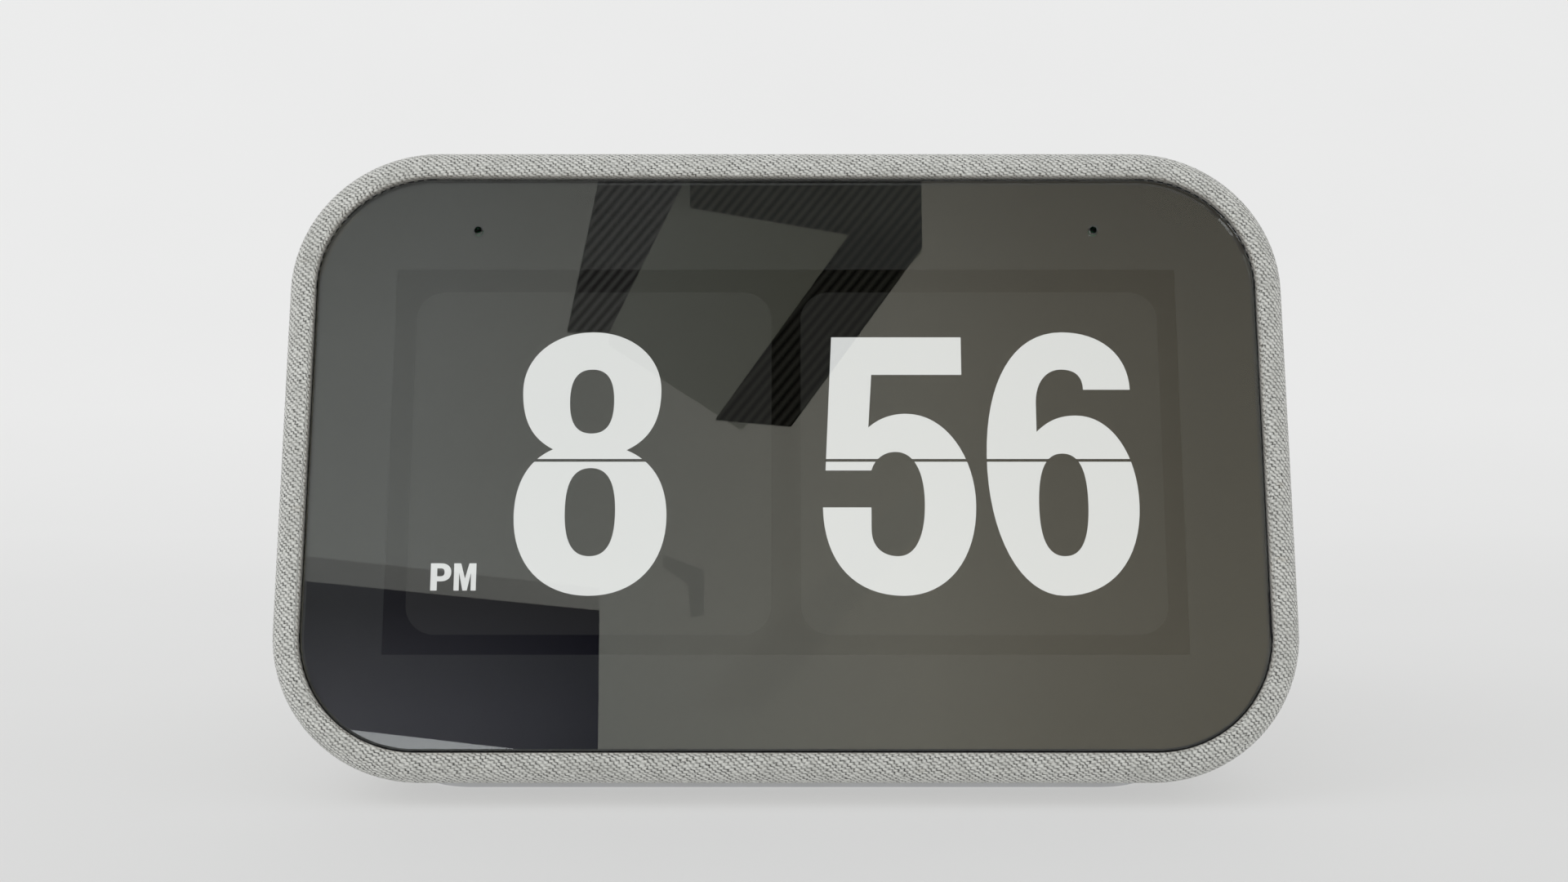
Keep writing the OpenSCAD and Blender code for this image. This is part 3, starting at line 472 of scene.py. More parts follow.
def rubber(name, colour, gloss=0.7, grain=2.4, depth=0.02):
    """Moulded rubber: dull, with a dusty bloom and a fine skin."""
    finish = Finish(name, roughness=gloss)
    where = finish.place()
    bloom = finish.noise(where, 0.18, 4)
    skin = finish.noise(where, grain, 4, 0.6)
    duller, paler = (tuple(c * share for c in colour) for share in (0.93, 1.07))
    finish.spread(base_color=finish.mix(bloom, duller, paler), roughness=skin * 0.2 + (gloss - 0.1))
    return finish.bump(skin, depth, 0.4)


roll_rubber = rubber("roll_rubber", (0.016, 0.016, 0.017), 0.6)
dress(roll_rubber, "speaker_surround", "radiator_left_surround", "radiator_right_surround")

# ---- Radiators ----
# Each end of the box has a steel plate weighted for a low note, blacked and held in a rubber roll.
dress(metal("radiator_steel", (0.30, 0.31, 0.32), 0.4), "radiator_left_plate", "radiator_right_plate")

# ---- Display ----
# The picture comes from a glass cell over an acrylic light guide, in a tin tray held up by the
# bracket. A dark touch film covers the cell, and black tape and seals fix it behind the glass.
cell_glass = Finish("cell_glass", roughness=0.12, coat_weight=0.3, coat_roughness=0.05)
columns = cell_glass.node("ShaderNodeSeparateXYZ", None, {0: cell_glass.place((11, 11, 11))}).wave()
cell_glass.spread(base_color=cell_glass.mix((columns + 1) * 0.5, (0.010, 0.012, 0.014),
                                            (0.022, 0.024, 0.028)))
dress(cell_glass.bump(columns, 0.005, 0.3), "lcd_cell")
guide_acrylic = Finish("guide_acrylic", roughness=0.25)
dots = guide_acrylic.cells(guide_acrylic.place(), 1.6, 0.2)
guide_acrylic.spread(base_color=guide_acrylic.mix((dots < 0.3) * 0.5, (0.80, 0.82, 0.83),
                                                  (0.95, 0.95, 0.95)))
dress(guide_acrylic.bump(dots, 0.02, 0.3), "light_guide")
touch = Finish("touch_film", roughness=0.3, specular_ior_level=0.0)
mesh_lines = touch.cells(touch.place(), 0.5, 0.0, "DISTANCE_TO_EDGE")
touch.spread(base_color=touch.mix(mesh_lines < 0.02, (0.0015, 0.0014, 0.0014), (0.0024, 0.0023, 0.0022)))
dress(touch, "touch_film")
foam = Finish("black_foam", roughness=0.95)
bubbles = foam.cells(foam.place(), 3.0)
foam.spread(base_color=foam.mix(bubbles, (0.010, 0.010, 0.010), (0.028, 0.028, 0.028)))
dress(foam.bump(bubbles, 0.08, 0.6), "glass_tape", "mic_seals")

# ---- Volume buttons ----
# Two long grey rubber caps stand a little out of the fabric on the top slope, with a plus and a
# minus sunk in them. Each presses a black plunger into a switch on the board below.


def soften(width, *nodes):
    """Rounds the sharp edges of CAD nodes by the given width in millimetres."""
    for name in nodes:
        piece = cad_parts[name]
        for face in piece.data.polygons:
            face.use_smooth = True
        weld = piece.modifiers.new("weld", "WELD")
        weld.merge_threshold = 0.002 * MM
        rounding = piece.modifiers.new("rounding", "BEVEL")
        rounding.width, rounding.segments = width * MM, 3
        rounding.limit_method, rounding.angle_limit = "ANGLE", radians(40)
        rounding.use_clamp_overlap = True
        weighted = piece.modifiers.new("weighted", "WEIGHTED_NORMAL")
        weighted.keep_sharp = True


button_rubber = rubber("button_rubber", (0.47, 0.47, 0.45), 0.6, 3.0)
dress(button_rubber, "volume_up_button", "volume_down_button")
soften(0.3, "volume_up_button", "volume_down_button")
dress(moulded("plunger_plastic", (0.025, 0.025, 0.026), 0.4, 0.6), "volume_up_plunger",
      "volume_down_plunger")
dress(metal("switch_tin", (0.55, 0.56, 0.57), 0.35), "volume_switches", "mute_switch")

# ---- Port panel ----
# A charcoal plate fills a window low in the back. A USB socket, the slot of the microphone's
# mute slider and a round power inlet open through it, and a small board behind holds them.
panel_plastic = moulded("panel_plastic", (0.040, 0.041, 0.043), 0.45, 0.7, 0.025)
dress(panel_plastic, "port_panel")
dress(metal("usb_steel", (0.72, 0.72, 0.72), 0.25), "usb_shell")
dress(moulded("tongue_plastic", (0.70, 0.70, 0.68), 0.4, 0.5, 0.01), "usb_tongue")
dress(moulded("inlet_plastic", (0.015, 0.015, 0.016), 0.35, 0.5, 0.01), "dc_jack_body")
dress(metal("pin_nickel", (0.75, 0.72, 0.66), 0.2), "dc_jack_pin")
dress(moulded("knob_plastic", (0.55, 0.55, 0.53), 0.45, 0.6, 0.02), "mute_knob")
soften(0.25, "port_panel")
soften(0.12, "usb_shell", "dc_jack_body", "mute_knob")
warning_red = Finish("mark_red", roughness=0.4)
pigment = warning_red.noise(warning_red.place(), 4.0, 3)
warning_red.spread(base_color=warning_red.mix(pigment, (0.50, 0.035, 0.02), (0.62, 0.06, 0.035)))
dress(warning_red, "mute_mark")

# ---- Fabric ----
# One piece of light grey heather cloth is drawn over both shells. It is rolled into the groove
# round the glass, tucked in round the buttons and the port panel, and gathered under the foot.
RIM_R, CORNER_R, RIM_HALF_W, RIM_HALF_H = 3.0, 16.7, 56.8, 36.5
MOUTH_HALF_W, MOUTH_HALF_H, MOUTH_R = 53.525, 33.2, 13.25
ROLL_R, TUCK_DEPTH, TUCK_BEND, WALL_END, BACK_MARGIN = 0.25, 1.25, 0.9, 0.5, 0.3
LOW_BACK, LOW_BACK_R = (36.935, 30.6, 11.2), 9.0
HIGH_BACK, HIGH_BACK_R = (34.619, 14.162, 45.5), 16.0
BACK_MIDDLE, BACK_LEAN = Vector((0, 36.317, 24.638)), radians(15)
TOP_MIDDLE, TOP_SLOPE = Vector((0, 3.16, 65.87)), radians(17.906)
UNDER_MIDDLE = Vector((0, -1, 2.2))
CORNER_STEPS, ROLL_STEPS, ROUND_STEPS, FIRST_TURN = 20, 5, 8, 0.03

BACK = standing(BACK_MIDDLE * MM, Vector((0, -sin(BACK_LEAN), cos(BACK_LEAN))),
                Vector((0, cos(BACK_LEAN), sin(BACK_LEAN))))
TOP = standing(TOP_MIDDLE * MM, Vector((0, cos(TOP_SLOPE), -sin(TOP_SLOPE))),
               Vector((0, sin(TOP_SLOPE), cos(TOP_SLOPE))))
UNDER = standing(UNDER_MIDDLE * MM, Vector((0, 1, 0)), Vector((0, 0, -1)))
to_face = FACE.inverted() @ Matrix.Scale(MM, 4)


def turned_to_face(place, direction):
    return ((FACE.inverted() @ place).to_3x3() @ Vector(direction)).normalized()


back_out = turned_to_face(BACK, (0, 0, 1))


class Ray:
    """One line of the cloth, from the groove round the glass over the rim to the back wall."""

    def __init__(self, corner, step):
        self.corner, self.step = corner, step
        self.side = side = Vector(((1, -1, -1, 1)[corner], (1, 1, -1, -1)[corner], 0))
        turn = radians(90 * (corner + step / CORNER_STEPS))
        self.away = Vector((cos(turn), sin(turn), 0))
        self.mouth = Vector((side.x * (MOUTH_HALF_W - MOUTH_R),
                             side.y * (MOUTH_HALF_H - MOUTH_R) - GLASS_DROP, 0))
        self.mouth += self.away * MOUTH_R
        self.ring = Vector((side.x * (RIM_HALF_W - CORNER_R), side.y * (RIM_HALF_H - CORNER_R), -RIM_R))
        self.ring += self.away * (CORNER_R - RIM_R)
        ball, self.ball_r = (HIGH_BACK, HIGH_BACK_R) if side.y > 0 else (LOW_BACK, LOW_BACK_R)
        self.ball = to_face @ Vector((side.x * ball[0], ball[1], ball[2]))
        across, behind = self.away.dot(self.ring - self.ball), self.ring.z - self.ball.z
        self.slant = acos((self.ball_r - RIM_R) / hypot(across, behind)) - atan2(behind, across)
        self.out = self.away * cos(self.slant) - Vector((0, 0, sin(self.slant)))
        past_ring = self.away.dot(self.mouth - self.ring) + ROLL_R
        self.start = asin(max(0, past_ring) / RIM_R)
        self.mouth.z = RIM_R * (cos(self.start) - 1)
        depths = (TUCK_DEPTH, TUCK_BEND, ROLL_R + 0.1)
        self.spots = ([self.mouth - Vector((0, 0, depth)) for depth in depths]
                      + [self.roll(turn / ROLL_STEPS) for turn in range(ROLL_STEPS + 1)]
                      + [self.rounding(FIRST_TURN)]
                      + [self.rounding(turn / ROUND_STEPS) for turn in range(1, ROUND_STEPS + 1)]
                      + [self.wall(0, WALL_END), self.wall(1, -WALL_END)]
                      + [self.ball + self.ball_r * self.out.slerp(back_out, turn / ROUND_STEPS)
                         for turn in range(ROUND_STEPS + 1)])
        inwards = back_out.cross(Vector((self.side.y, -self.side.x, 0)))
        self.spots.append(self.spots[-1] + inwards * BACK_MARGIN)
        self.runs = [0.0]
        for here, there in zip(self.spots, self.spots[1:]):
            self.runs.append(self.runs[-1] + (there - here).length)

    def roll(self, turn):
        """Over the roll at the mouth, from the groove (0) to the rim (1)."""
        angle = turn * pi / 2
        return self.mouth + ROLL_R * (self.away * (1 - cos(angle)) + Vector((0, 0, sin(angle) - 1)))

    def rounding(self, turn):
        """Round the rim, from the mouth (0) to the walls (1)."""
        angle = self.start + turn * (pi / 2 + self.slant - self.start)
        return self.ring + RIM_R * (self.away * sin(angle) + Vector((0, 0, cos(angle))))

    def wall(self, share, shift):
        """On the straight run from the rim to the back's rounding, shifted along it."""
        start, end = self.rounding(1), self.ball + self.out * self.ball_r
        return start.lerp(end, share) + (end - start).normalized() * shift


def grow(bm, edges):
    """Extrudes a loop of edges where it lies. Returns the new loop's edges."""
    grown = bmesh.ops.extrude_edge_only(bm, edges=edges)["geom"]
    fresh = {item for item in grown if isinstance(item, bmesh.types.BMVert)}
    return [item for item in grown
            if isinstance(item, bmesh.types.BMEdge) and fresh.issuperset(item.verts)]


def verts_of(edges):
    return list({vert for edge in edges for vert in edge.verts})


BAND_LINE = ROLL_STEPS + 4
RIM_LINE = BAND_LINE + ROUND_STEPS + 1
LAST_RAY, PER_CORNER = CORNER_STEPS, CORNER_STEPS + 1
SHADE_LINE, SHADE_LINES = 4, 5
rays = [Ray(corner, step) for corner in range(4) for step in range(PER_CORNER)]
cloth = bmesh.new()
on_ray = cloth.verts.layers.int.new("ray")
on_line = cloth.verts.layers.int.new("line")
cloth.verts.layers.int.new("turn")
lip = cloth.verts.layers.float.new("lip")
for number, vert in enumerate(bmesh.ops.create_circle(cloth, segments=len(rays), radius=1)["verts"]):
    vert[on_ray] = number
edge_loop = list(cloth.edges)
for number in range(len(rays[0].spots)):
    if number:
        edge_loop = grow(cloth, edge_loop)
    for vert in verts_of(edge_loop):
        vert.co = rays[vert[on_ray]].spots[number]
        vert[on_line] = number
        # Painted shade: lines that roll into the groove round the glass get full weight, fading out over
        # the rim, to darken the cloth there.
        vert[lip] = max(0.0, 1 - max(0, number - SHADE_LINE) / SHADE_LINES)

# The weave runs straight across the face and over the rim. Behind the rim it follows each wall,
# and the four strips meet on the corners.
weave = cloth.loops.layers.uv.new("weave")


def weave_spot(ray_number, line, half):
    ray = rays[ray_number]
    if line <= RIM_LINE:
        return (ray.spots[BAND_LINE] + ray.away * (ray.runs[line] - ray.runs[BAND_LINE])).xy
    first = ray.corner * PER_CORNER
    edge_number = first if half == 0 else first + LAST_RAY
    edge_ray = rays[edge_number]
    between = range(first, ray_number) if half == 0 else range(ray_number, edge_number)
    arc = sum((rays[k + 1].spots[line] - rays[k].spots[line]).length for k in between)
    spot = edge_ray.spots[BAND_LINE] + edge_ray.away * (edge_ray.runs[line] - edge_ray.runs[BAND_LINE])
    if abs(edge_ray.away.x) > 0.5:
        return Vector((spot.x, edge_ray.spots[line].y + ray.side.y * arc))
    return Vector((edge_ray.spots[line].x + ray.side.x * arc, spot.y))


for face in cloth.faces:
    steps = [rays[corner.vert[on_ray]].step for corner in face.loops]
    across_flat = {0, LAST_RAY} == set(steps)
    for corner in face.loops:
        step = rays[corner.vert[on_ray]].step
        half = (0 if step == 0 else 1) if across_flat else int(min(steps) >= LAST_RAY / 2)
        corner[weave].uv = weave_spot(corner.vert[on_ray], corner.vert[on_line], half)


def sleeve(bm, sections, place=None, steps=8):
    """A skin through rounded oblongs of (width, height, corner, level). Returns their edges."""
    turn = bm.verts.layers.int.get("turn") or bm.verts.layers.int.new("turn")
    ring = bmesh.ops.create_circle(bm, segments=4 * steps, radius=1)["verts"]
    for number, vert in enumerate(ring):
        vert[turn] = number
    loops = [list({edge for vert in ring for edge in vert.link_edges})]
    for _ in sections[1:]:
        loops.append(grow(bm, loops[-1]))
    for loop, (width, height, corner, level) in zip(loops, sections):
        for vert in verts_of(loop):
            angle = 2 * pi * (vert[turn] + 0.5) / (4 * steps)
            x, y = cos(angle), sin(angle)
            vert.co = (corner * x + copysign(width / 2 - corner, x),
                       corner * y + copysign(height / 2 - corner, y), level)
    if place is not None:
        bmesh.ops.transform(bm, matrix=place, verts=[v for loop in loops for v in verts_of(loop)])
    return loops


def stepped(width, height, corner, steps):
    """Sections of a sleeve, each grown all round by a step's first number, at the second's level."""
    return [(width + 2 * grown, height + 2 * grown, corner + grown, level) for grown, level in steps]


TUCK_R, TUCK_MARGIN = 0.4, 0.7


def tucked_opening(width, height, corner, place):
    """The rolled edge of an opening in the cloth, with a flat margin. Returns the margin's edges."""
    turns = [radians(angle) for angle in (0, 30, 60, 90)]
    rolled = [(TUCK_R * (1 - sin(turn)), TUCK_R * (cos(turn) - 1)) for turn in turns]
    steps = [(TUCK_MARGIN, 0.0)] + rolled + [(0, -TUCK_BEND)]
    loops = sleeve(cloth, stepped(width, height, corner, steps), FACE.inverted() @ place)
    # Painted shade: the rolled and tucked rings of the opening are weighted to darken the cloth where it
    # turns in.
    for deep, loop in enumerate(loops):
        for vert in verts_of(loop):
            vert[lip] = max(0.0, (deep - 1) / SHADE_LINES)
    return loops[0]


def close_round(border, openings, ray, line, along):
    """Fills the flat cloth between a border and its openings. The weave runs on from the line."""
    bmesh.ops.triangle_fill(cloth, edges=border + openings, use_beauty=True)
    reached = (ray.spots[BAND_LINE] + ray.away * (ray.runs[line] - ray.runs[BAND_LINE])).y
    for face in cloth.faces:
        if all(corner[weave].uv.length == 0 for corner in face.loops):
            for corner in face.loops:
                run = (corner.vert.co - ray.spots[line]).dot(along)
                corner[weave].uv = (corner.vert.co.x, reached + ray.away.y * run)


def take_flat(corner):
    """Takes away the flat face between two corners of the rim. Returns its edges."""
    ends = {corner * PER_CORNER + LAST_RAY, (corner + 1) * PER_CORNER}
    flat = [face for face in cloth.faces if {vert[on_ray] for vert in face.verts} == ends
            and {vert[on_line] for vert in face.verts} == {RIM_LINE, RIM_LINE + 1}]
    edges = list(flat[0].edges)
    bmesh.ops.delete(cloth, geom=flat, context="FACES_ONLY")
    return edges


BUTTON_X, BUTTON_HOLE_W, BUTTON_HOLE_H = 13.0, 13.4, 6.8
PANEL_HOLE_W, PANEL_HOLE_H, PANEL_R = 56.3, 20.3, 5.0
UNDER_HOLE_W, UNDER_HOLE_D = 73.0, 50.3
top_ray, under_ray = rays[LAST_RAY], rays[2 * PER_CORNER + LAST_RAY]
top_border, under_border = take_flat(0), take_flat(2)
button_holes = []
for side in (-1, 1):
    button_holes += tucked_opening(BUTTON_HOLE_W, BUTTON_HOLE_H, BUTTON_HOLE_H / 2 - 0.001,
                                   TOP @ Matrix.Translation((side * BUTTON_X, 0, 0)))
close_round(top_border, button_holes, top_ray, RIM_LINE, turned_to_face(TOP, (0, 1, 0)))
close_round(under_border, tucked_opening(UNDER_HOLE_W, UNDER_HOLE_D, PANEL_R, UNDER), under_ray,
            RIM_LINE, turned_to_face(UNDER, (0, 1, 0)))
panel_hole = tucked_opening(PANEL_HOLE_W, PANEL_HOLE_H, PANEL_R, BACK)
bmesh.ops.remove_doubles(cloth, verts=cloth.verts, dist=0.001)
back_border = [edge for edge in cloth.edges if edge.is_boundary
               and all(vert[on_line] == len(top_ray.spots) - 1 for vert in edge.verts)]
close_round(back_border, panel_hole, top_ray, -1, turned_to_face(BACK, (0, -1, 0)))

heather = Finish("heather_cloth", roughness=0.95, specular_ior_level=0.2, sheen_weight=0.25,
                 sheen_roughness=0.5)
STRAND_ANGLE, STITCH_LONG, STITCH_WIDE = radians(52), 0.60, 0.40
where_on_cloth = heather.place(uv="weave")
along, across = (heather.node(
    "ShaderNodeSeparateXYZ", None,
    {"Vector": heather.place((1 / STITCH_LONG, 1 / STITCH_WIDE, 1), (0, 0, STRAND_ANGLE), uv="weave")},
    axis) for axis in (0, 1))
along = along + (heather.noise(where_on_cloth, 1.1, 2) - 0.5) * 1.1
across = across + (heather.noise(heather.place(centre=(40, 7, 0), uv="weave"), 0.9, 2) - 0.5) * 1.3
rows = abs((across * pi).wave())
loops = abs(((along + across.rounded_down() * 0.5) * pi).wave())
stitch = rows * (loops * 0.55 + 0.45)
openness = (heather.noise(where_on_cloth, 1.5, 2) * 3.0 - 0.8).limited()
hole = ((1 - rows) * (1 - loops) * 3.0).limited() * openness
fibres = heather.noise(heather.place((1, 4.5, 1), (0, 0, STRAND_ANGLE + 0.3), uv="weave"), 2.2, 3, 0.7)
yarn = heather.ramp(fibres, (0.28, (0.40, 0.40, 0.375)), (0.45, (0.82, 0.82, 0.78)),
                    (0.66, (0.97, 0.97, 0.93)))
shadowed = heather.mix((1 - stitch) * 0.5, yarn, (0.36, 0.36, 0.335))
holed = heather.mix(hole * 0.95, shadowed, (0.03, 0.03, 0.026))
patches = heather.noise(where_on_cloth, 0.32, 3, 0.6)
shaded = heather.mix(((patches - 0.45) * 1.3).limited(), holed, (0.40, 0.40, 0.37))
slubs = heather.noise(heather.place((0.55, 1.5, 1), (0, 0, STRAND_ANGLE), uv="weave"), 0.5, 2)
flecked = heather.mix(((slubs - 0.66) * 4.0).limited() * 0.45, shaded, (0.34, 0.28, 0.19))
# Painted shade: the weight darkens the cloth's colour towards a brownish grey where it rolls into the
# groove and the openings.
lip_shade = heather.node("ShaderNodeAttribute", {"attribute_name": "lip"}, output="Fac")
heather.spread(base_color=heather.mix(lip_shade * 0.6, flecked, (0.20, 0.175, 0.14)))
heather.bump(stitch + fibres * 0.4 - hole * 0.5, 0.12, 0.9)
fabric = make_piece(cloth, "fabric_wrap", heather, FACE)
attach(fabric, "clock")
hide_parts("fabric_cover")

# ---- Cover glass ----
# A polished sheet of toughened glass fills the mouth of the fabric. Its edges are ground to a
# narrow bevel, and two fine holes let sound through to the microphones.
GLASS_W, GLASS_H, GLASS_R, GLASS_TOP, GLASS_UNDER = 106.65, 66.0, 13.05, -0.4, -1.45
BEVEL, UNDER_BEVEL, MIC_X, MIC_Y, MIC_R, MIC_FLARE = 0.2, 0.1, 35.25, 26.9, 0.4, 0.14
sheet = bmesh.new()
edges = sleeve(sheet, stepped(GLASS_W, GLASS_H, GLASS_R, [
    (-BEVEL, GLASS_TOP), (0, GLASS_TOP - BEVEL), (0, GLASS_UNDER + UNDER_BEVEL),
    (-UNDER_BEVEL, GLASS_UNDER)]), steps=16)
top_edges, under_edges = edges[0], edges[-1]
for side in (-1, 1):
    bore = sleeve(sheet, [(2 * radius, 2 * radius, radius - 0.001, level) for radius, level in (
        (MIC_R + MIC_FLARE, GLASS_TOP), (MIC_R, GLASS_TOP - MIC_FLARE), (MIC_R, GLASS_UNDER))],
        Matrix.Translation((side * MIC_X, MIC_Y, 0)), steps=6)
    top_edges, under_edges = top_edges + bore[0], under_edges + bore[-1]
for rim in (top_edges, under_edges):
    bmesh.ops.triangle_fill(sheet, edges=rim, use_beauty=True)
polished = Finish("polished_glass", transmission_weight=1.0, ior=1.5, roughness=0.0)
polished.spread(base_color=polished.mix(polished.noise(polished.place(), 0.05, 3), (0.95, 0.975, 0.96),
                                        (0.97, 0.99, 0.975)))
glass = make_piece(sheet, "front_glass", polished, GLASS, smooth=False)
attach(glass, "clock")
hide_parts("cover_glass")

# ---- Border print ----
# Dark grey ceramic ink is fired on to the back of the glass round the picture. It is matt and a
# little cloudy, and paler than the screen inside it.
border_ink = Finish("border_ink", roughness=0.7, specular_ior_level=0.0)
clouding = border_ink.noise(border_ink.place(), 0.08, 3)
border_ink.spread(base_color=border_ink.mix(clouding, (0.031, 0.031, 0.031), (0.037, 0.037, 0.037)))
dress(border_ink, "border_print")

# ---- Picture ----
# The screen shows a flip clock: two dark cards with round corners, white figures, a line where
# the leaves fold and a small afternoon mark. Each is light from the screen, drawn in fine dots.
CARD_LEVEL, FIGURE_LEVEL, FOLD_LEVEL, LEAF = -1.57, -1.545, -1.52, 0.015
CARDS = (("hour", -41.99, -1.59), ("minute", 1.66, 42.24))
CARD_H, CARD_R, CARD_Y = 39.66, 3.3, -0.26
FOLD_H, FOLD_R, FOLD_Y = 0.33, 0.05, -0.25
ROUNDNESS = 0.68


def lit(name, colour, strength):
    """Light from the screen, broken up by its grid of dots."""
    finish = Finish(name, base_color=(0, 0, 0), roughness=1, specular_ior_level=0)
    finish.fix(emission_strength=strength)
    grid = finish.node("ShaderNodeTexBrick", {"offset": 0.0},
                       {"Vector": finish.place(turn=(radians(-70), 0, 0)), "Scale": 5.4,
                        "Mortar Size": 0.012, "Mortar": tuple(c * 0.9 for c in colour),
                        "Color1": colour, "Color2": tuple(c * 0.97 for c in colour)})
    finish.spread(emission_color=grid)
    return finish


def show(piece):
    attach(piece, "clock")


def leaf(name, finish, section, left, right, y, level, steps=8):
    """A thin oblong of light. Its section is a height and a corner radius."""
    bm = bmesh.new()
    loops = sleeve(bm, [(right - left, *section, level), (right - left, *section, level + LEAF)],
                   Matrix.Translation(((left + right) / 2, y, 0)), steps)
    for loop in loops:
        bmesh.ops.contextual_create(bm, geom=loop)
    show(make_piece(bm, name, finish, GLASS, smooth=False))


card_light = lit("card_light", (0.95, 0.95, 0.90), 0.0125)
for half, left, right in CARDS:
    leaf(half + "_card", card_light, (CARD_H, CARD_R), left, right, CARD_Y, CARD_LEVEL)

figure_light = lit("figure_light", (1.0, 1.0, 1.0), 0.735)


def oval(x, y, half_w, half_h):
    """A closed loop of four points, a little squarer than an ellipse."""
    w, h = half_w * ROUNDNESS, half_h * ROUNDNESS
    return [(x, y + half_h, -w, 0, w, 0), (x + half_w, y, 0, h, 0, -h),
            (x, y - half_h, w, 0, -w, 0), (x - half_w, y, 0, -h, 0, h)]


def figure(name, loops):
    """A thin flat figure. Each point of a loop is x, y and the reach of its two handles."""
    curve = bpy.data.curves.new(name + "_line", "CURVE")
    curve.dimensions, curve.fill_mode, curve.resolution_u = "2D", "BOTH", 16
    curve.extrude = LEAF / 2
    for loop in loops:
        spline = curve.splines.new("BEZIER")
        spline.bezier_points.add(len(loop) - 1)
        spline.use_cyclic_u = True
        for point, (x, y, *reach) in zip(spline.bezier_points, loop):
            before_x, before_y, after_x, after_y = reach or (0, 0, 0, 0)
            point.handle_left_type = point.handle_right_type = "FREE"
            point.co = (x, y, 0)
            point.handle_left = (x + before_x, y + before_y, 0)
            point.handle_right = (x + after_x, y + after_y, 0)
    drawn = bpy.data.objects.new(name + "_line", curve)
    bm = bmesh.new()
    bm.from_mesh(drawn.to_mesh())
    drawn.to_mesh_clear()
    bpy.data.objects.remove(drawn)
    bmesh.ops.remove_doubles(bm, verts=bm.verts, dist=0.002)
    show(make_piece(bm, name, figure_light, GLASS @ Matrix.Translation((0, 0, FIGURE_LEVEL)),
                    smooth=False))


figure("figure_8", [
    [(-21.84, 14.78, -4.5, 0, 4.5, 0), (-14.04, 7.9, 0, 3.9, 0, -3.4),
     (-17.87, 0.94, 2.7, 1.3, 2.9, -1.2), (-13.30, -6.7, 0, 3.9, 0, -5.4),
     (-21.84, -15.70, 5.2, 0, -5.2, 0), (-30.33, -6.7, 0, -5.4, 0, 3.9),
     (-26.11, 1.04, -2.7, -1.2, -2.5, 1.3), (-29.64, 7.9, 0, -3.4, 0, 3.9)],
    oval(-21.84, 6.62, 2.49, 3.75), oval(-21.84, -6.18, 2.81, 5.05)])
figure("figure_5", [
    [(5.15, 14.19), (19.85, 14.19), (19.85, 9.75), (9.66, 9.75), (9.28, 3.58, 0, 0, 1.1, 1.0),
     (13.51, 5.18, -1.7, 0, 4.6, 0), (21.24, -5.4, 0, 5.4, 0, -6.2), (13.10, -15.70, 4.8, 0, -5.4, 0),
     (4.14, -5.66, 0.1, -6.4, 0, 0), (9.55, -5.66, 0, 0, 0, -1.2), (9.55, -8.2, 0, 0.4, 0, -2.0),
     (12.5, -11.23, -1.7, 0, 2.0, 0), (15.52, -5.2, 0, -3.6, 0, 3.6), (12.31, 0.74, 2.1, 0, -1.5, 0),
     (9.59, -1.41, 0.3, 1.1, 0, 0), (4.45, -1.41)]])
figure("figure_6", [
    [(38.84, 8.0, 0, 0, -0.1, 4.2), (31.27, 14.78, 4.4, 0, -5.6, 0), (22.53, 0.2, 0, 8.6, 0, -8.9),
     (30.87, -15.70, -5.0, 0, 5.2, 0), (39.46, -5.42, 0, -6.3, 0, 6.0), (32.66, 4.97, 3.9, 0, -2.0, 0),
     (28.19, 3.07, 1.2, 1.2, 0, 0), (28.19, 6.4, 0, -0.6, 0, 2.4), (31.1, 10.37, -1.7, 0, 1.7, 0),
     (33.55, 8.0, 0, 1.5, 0, 0)],
    oval(31.01, -5.34, 2.75, 5.89)])
STEM = 0.72
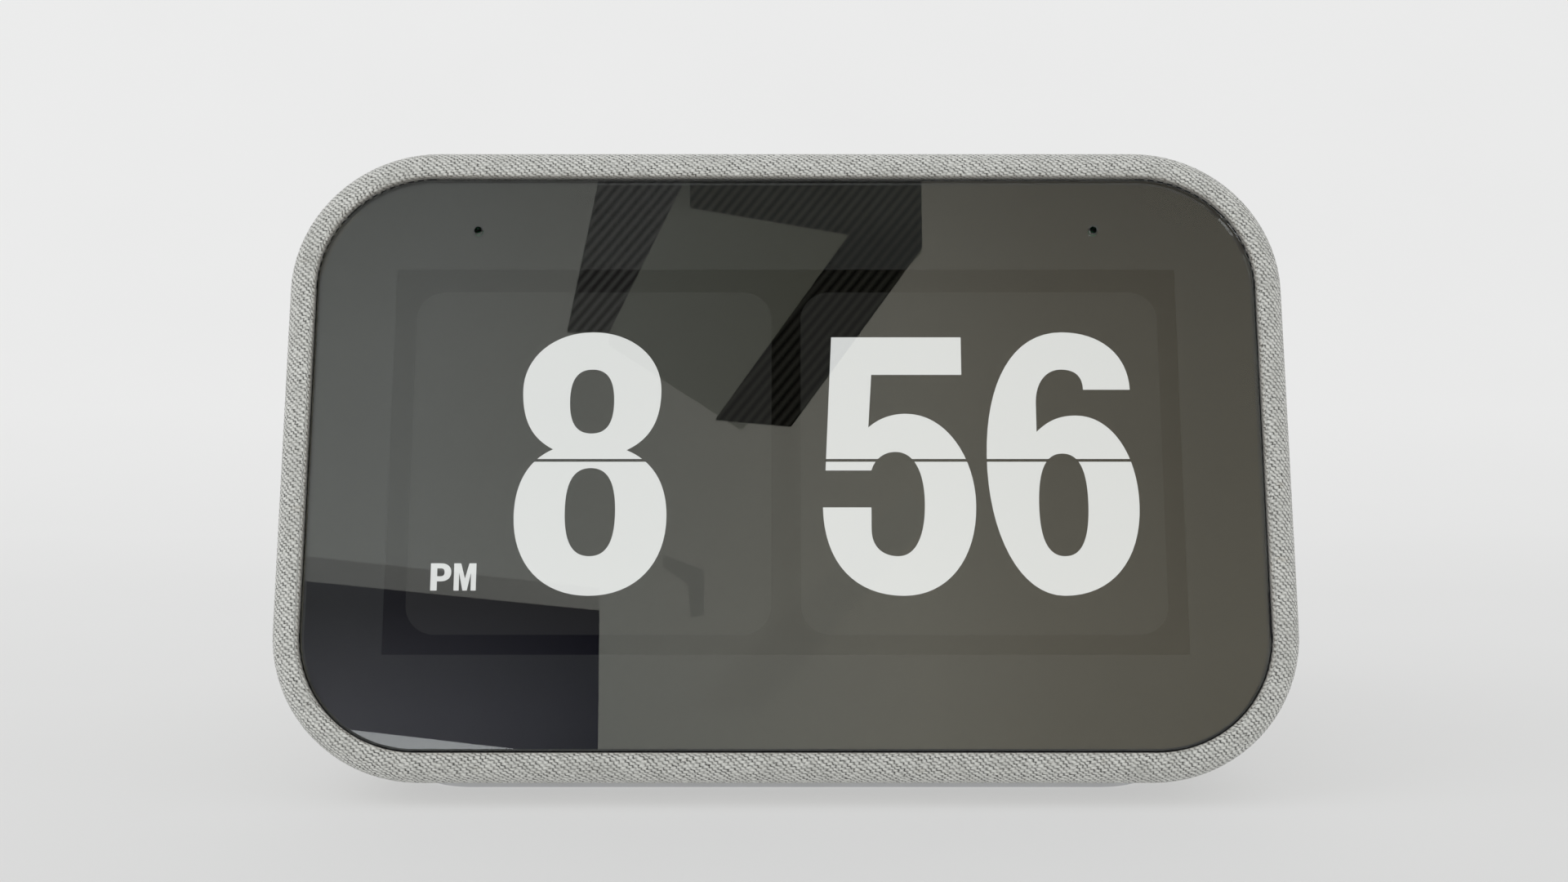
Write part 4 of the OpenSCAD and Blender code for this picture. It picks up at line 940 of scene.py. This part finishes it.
figure("mark_pm", [
    [(-39.33, -15.11), (-39.33, -12.03), (-38.2, -12.03, -0.3, 0, 0.75, 0),
     (-37.05, -13.05, 0, 0.6, 0, -0.6), (-38.2, -14.07, 0.75, 0, -0.3, 0), (-39.33 + STEM, -14.07),
     (-39.33 + STEM, -15.11)],
    [(-39.33 + STEM, -13.5), (-39.33 + STEM, -12.6), (-38.25, -12.6, -0.1, 0, 0.35, 0),
     (-37.8, -13.05, 0, 0.3, 0, -0.3), (-38.25, -13.5, 0.35, 0, -0.1, 0)],
    [(-36.75, -15.11), (-36.75, -12.03), (-35.98, -12.03), (-35.52, -13.75), (-35.06, -12.03),
     (-34.29, -12.03), (-34.29, -15.11), (-34.86, -15.11), (-34.86, -13.1), (-35.28, -15.11),
     (-35.76, -15.11), (-36.18, -13.1), (-36.18, -15.11)]])
fold_dark = lit("fold_dark", (1.0, 1.0, 0.95), 0.006)
for half, left, right in CARDS:
    leaf(half + "_fold", fold_dark, (FOLD_H, FOLD_R), left, right, FOLD_Y, FOLD_LEVEL, steps=2)

# ---- Foot ----
# A pale grey silicone pad covers the base plate and its screws and keeps the clock from sliding.
# It is moulded with softly rounded edges and a shallow channel underneath.
FOOT_W, FOOT_D, FOOT_R, FOOT_T, FOOT_Y = 82.4, 58.0, 6.0, 2.2, -1
LOW_ROUND, HIGH_ROUND = 0.7, 0.5
CHANNEL_W, CHANNEL_D, CHANNEL_R = 58, 34, 3
CHANNEL_WIDE, CHANNEL_DEEP, CHANNEL_DRAFT = 2, 0.35, 0.3
pad = bmesh.new()
channel = sleeve(pad, stepped(CHANNEL_W, CHANNEL_D, CHANNEL_R, [
    (0, 0), (CHANNEL_DRAFT, CHANNEL_DEEP), (CHANNEL_WIDE, CHANNEL_DEEP),
    (CHANNEL_WIDE + CHANNEL_DRAFT, 0)]))
sides = sleeve(pad, stepped(FOOT_W, FOOT_D, FOOT_R, [
    (-LOW_ROUND, 0), (-0.2, 0.2), (0, LOW_ROUND), (0, FOOT_T - 0.4), (-0.15, FOOT_T - 0.06),
    (-HIGH_ROUND, FOOT_T)]), steps=10)
bmesh.ops.triangle_fill(pad, edges=channel[-1] + sides[0], use_beauty=True)
for loop in (channel[0], sides[-1]):
    bmesh.ops.contextual_create(pad, geom=loop)
silicone = rubber("silicone", (0.60, 0.605, 0.615), 0.55, 1.6, 0.03)
foot = make_piece(pad, "silicone_foot", silicone,
                  Matrix.Translation((0, FOOT_Y * MM, 0)) @ Matrix.Scale(MM, 4))
flat_shading = foot.modifiers.new("weighted", "WEIGHTED_NORMAL")
flat_shading.keep_sharp = True
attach(foot, "clock")
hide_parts("rubber_foot")
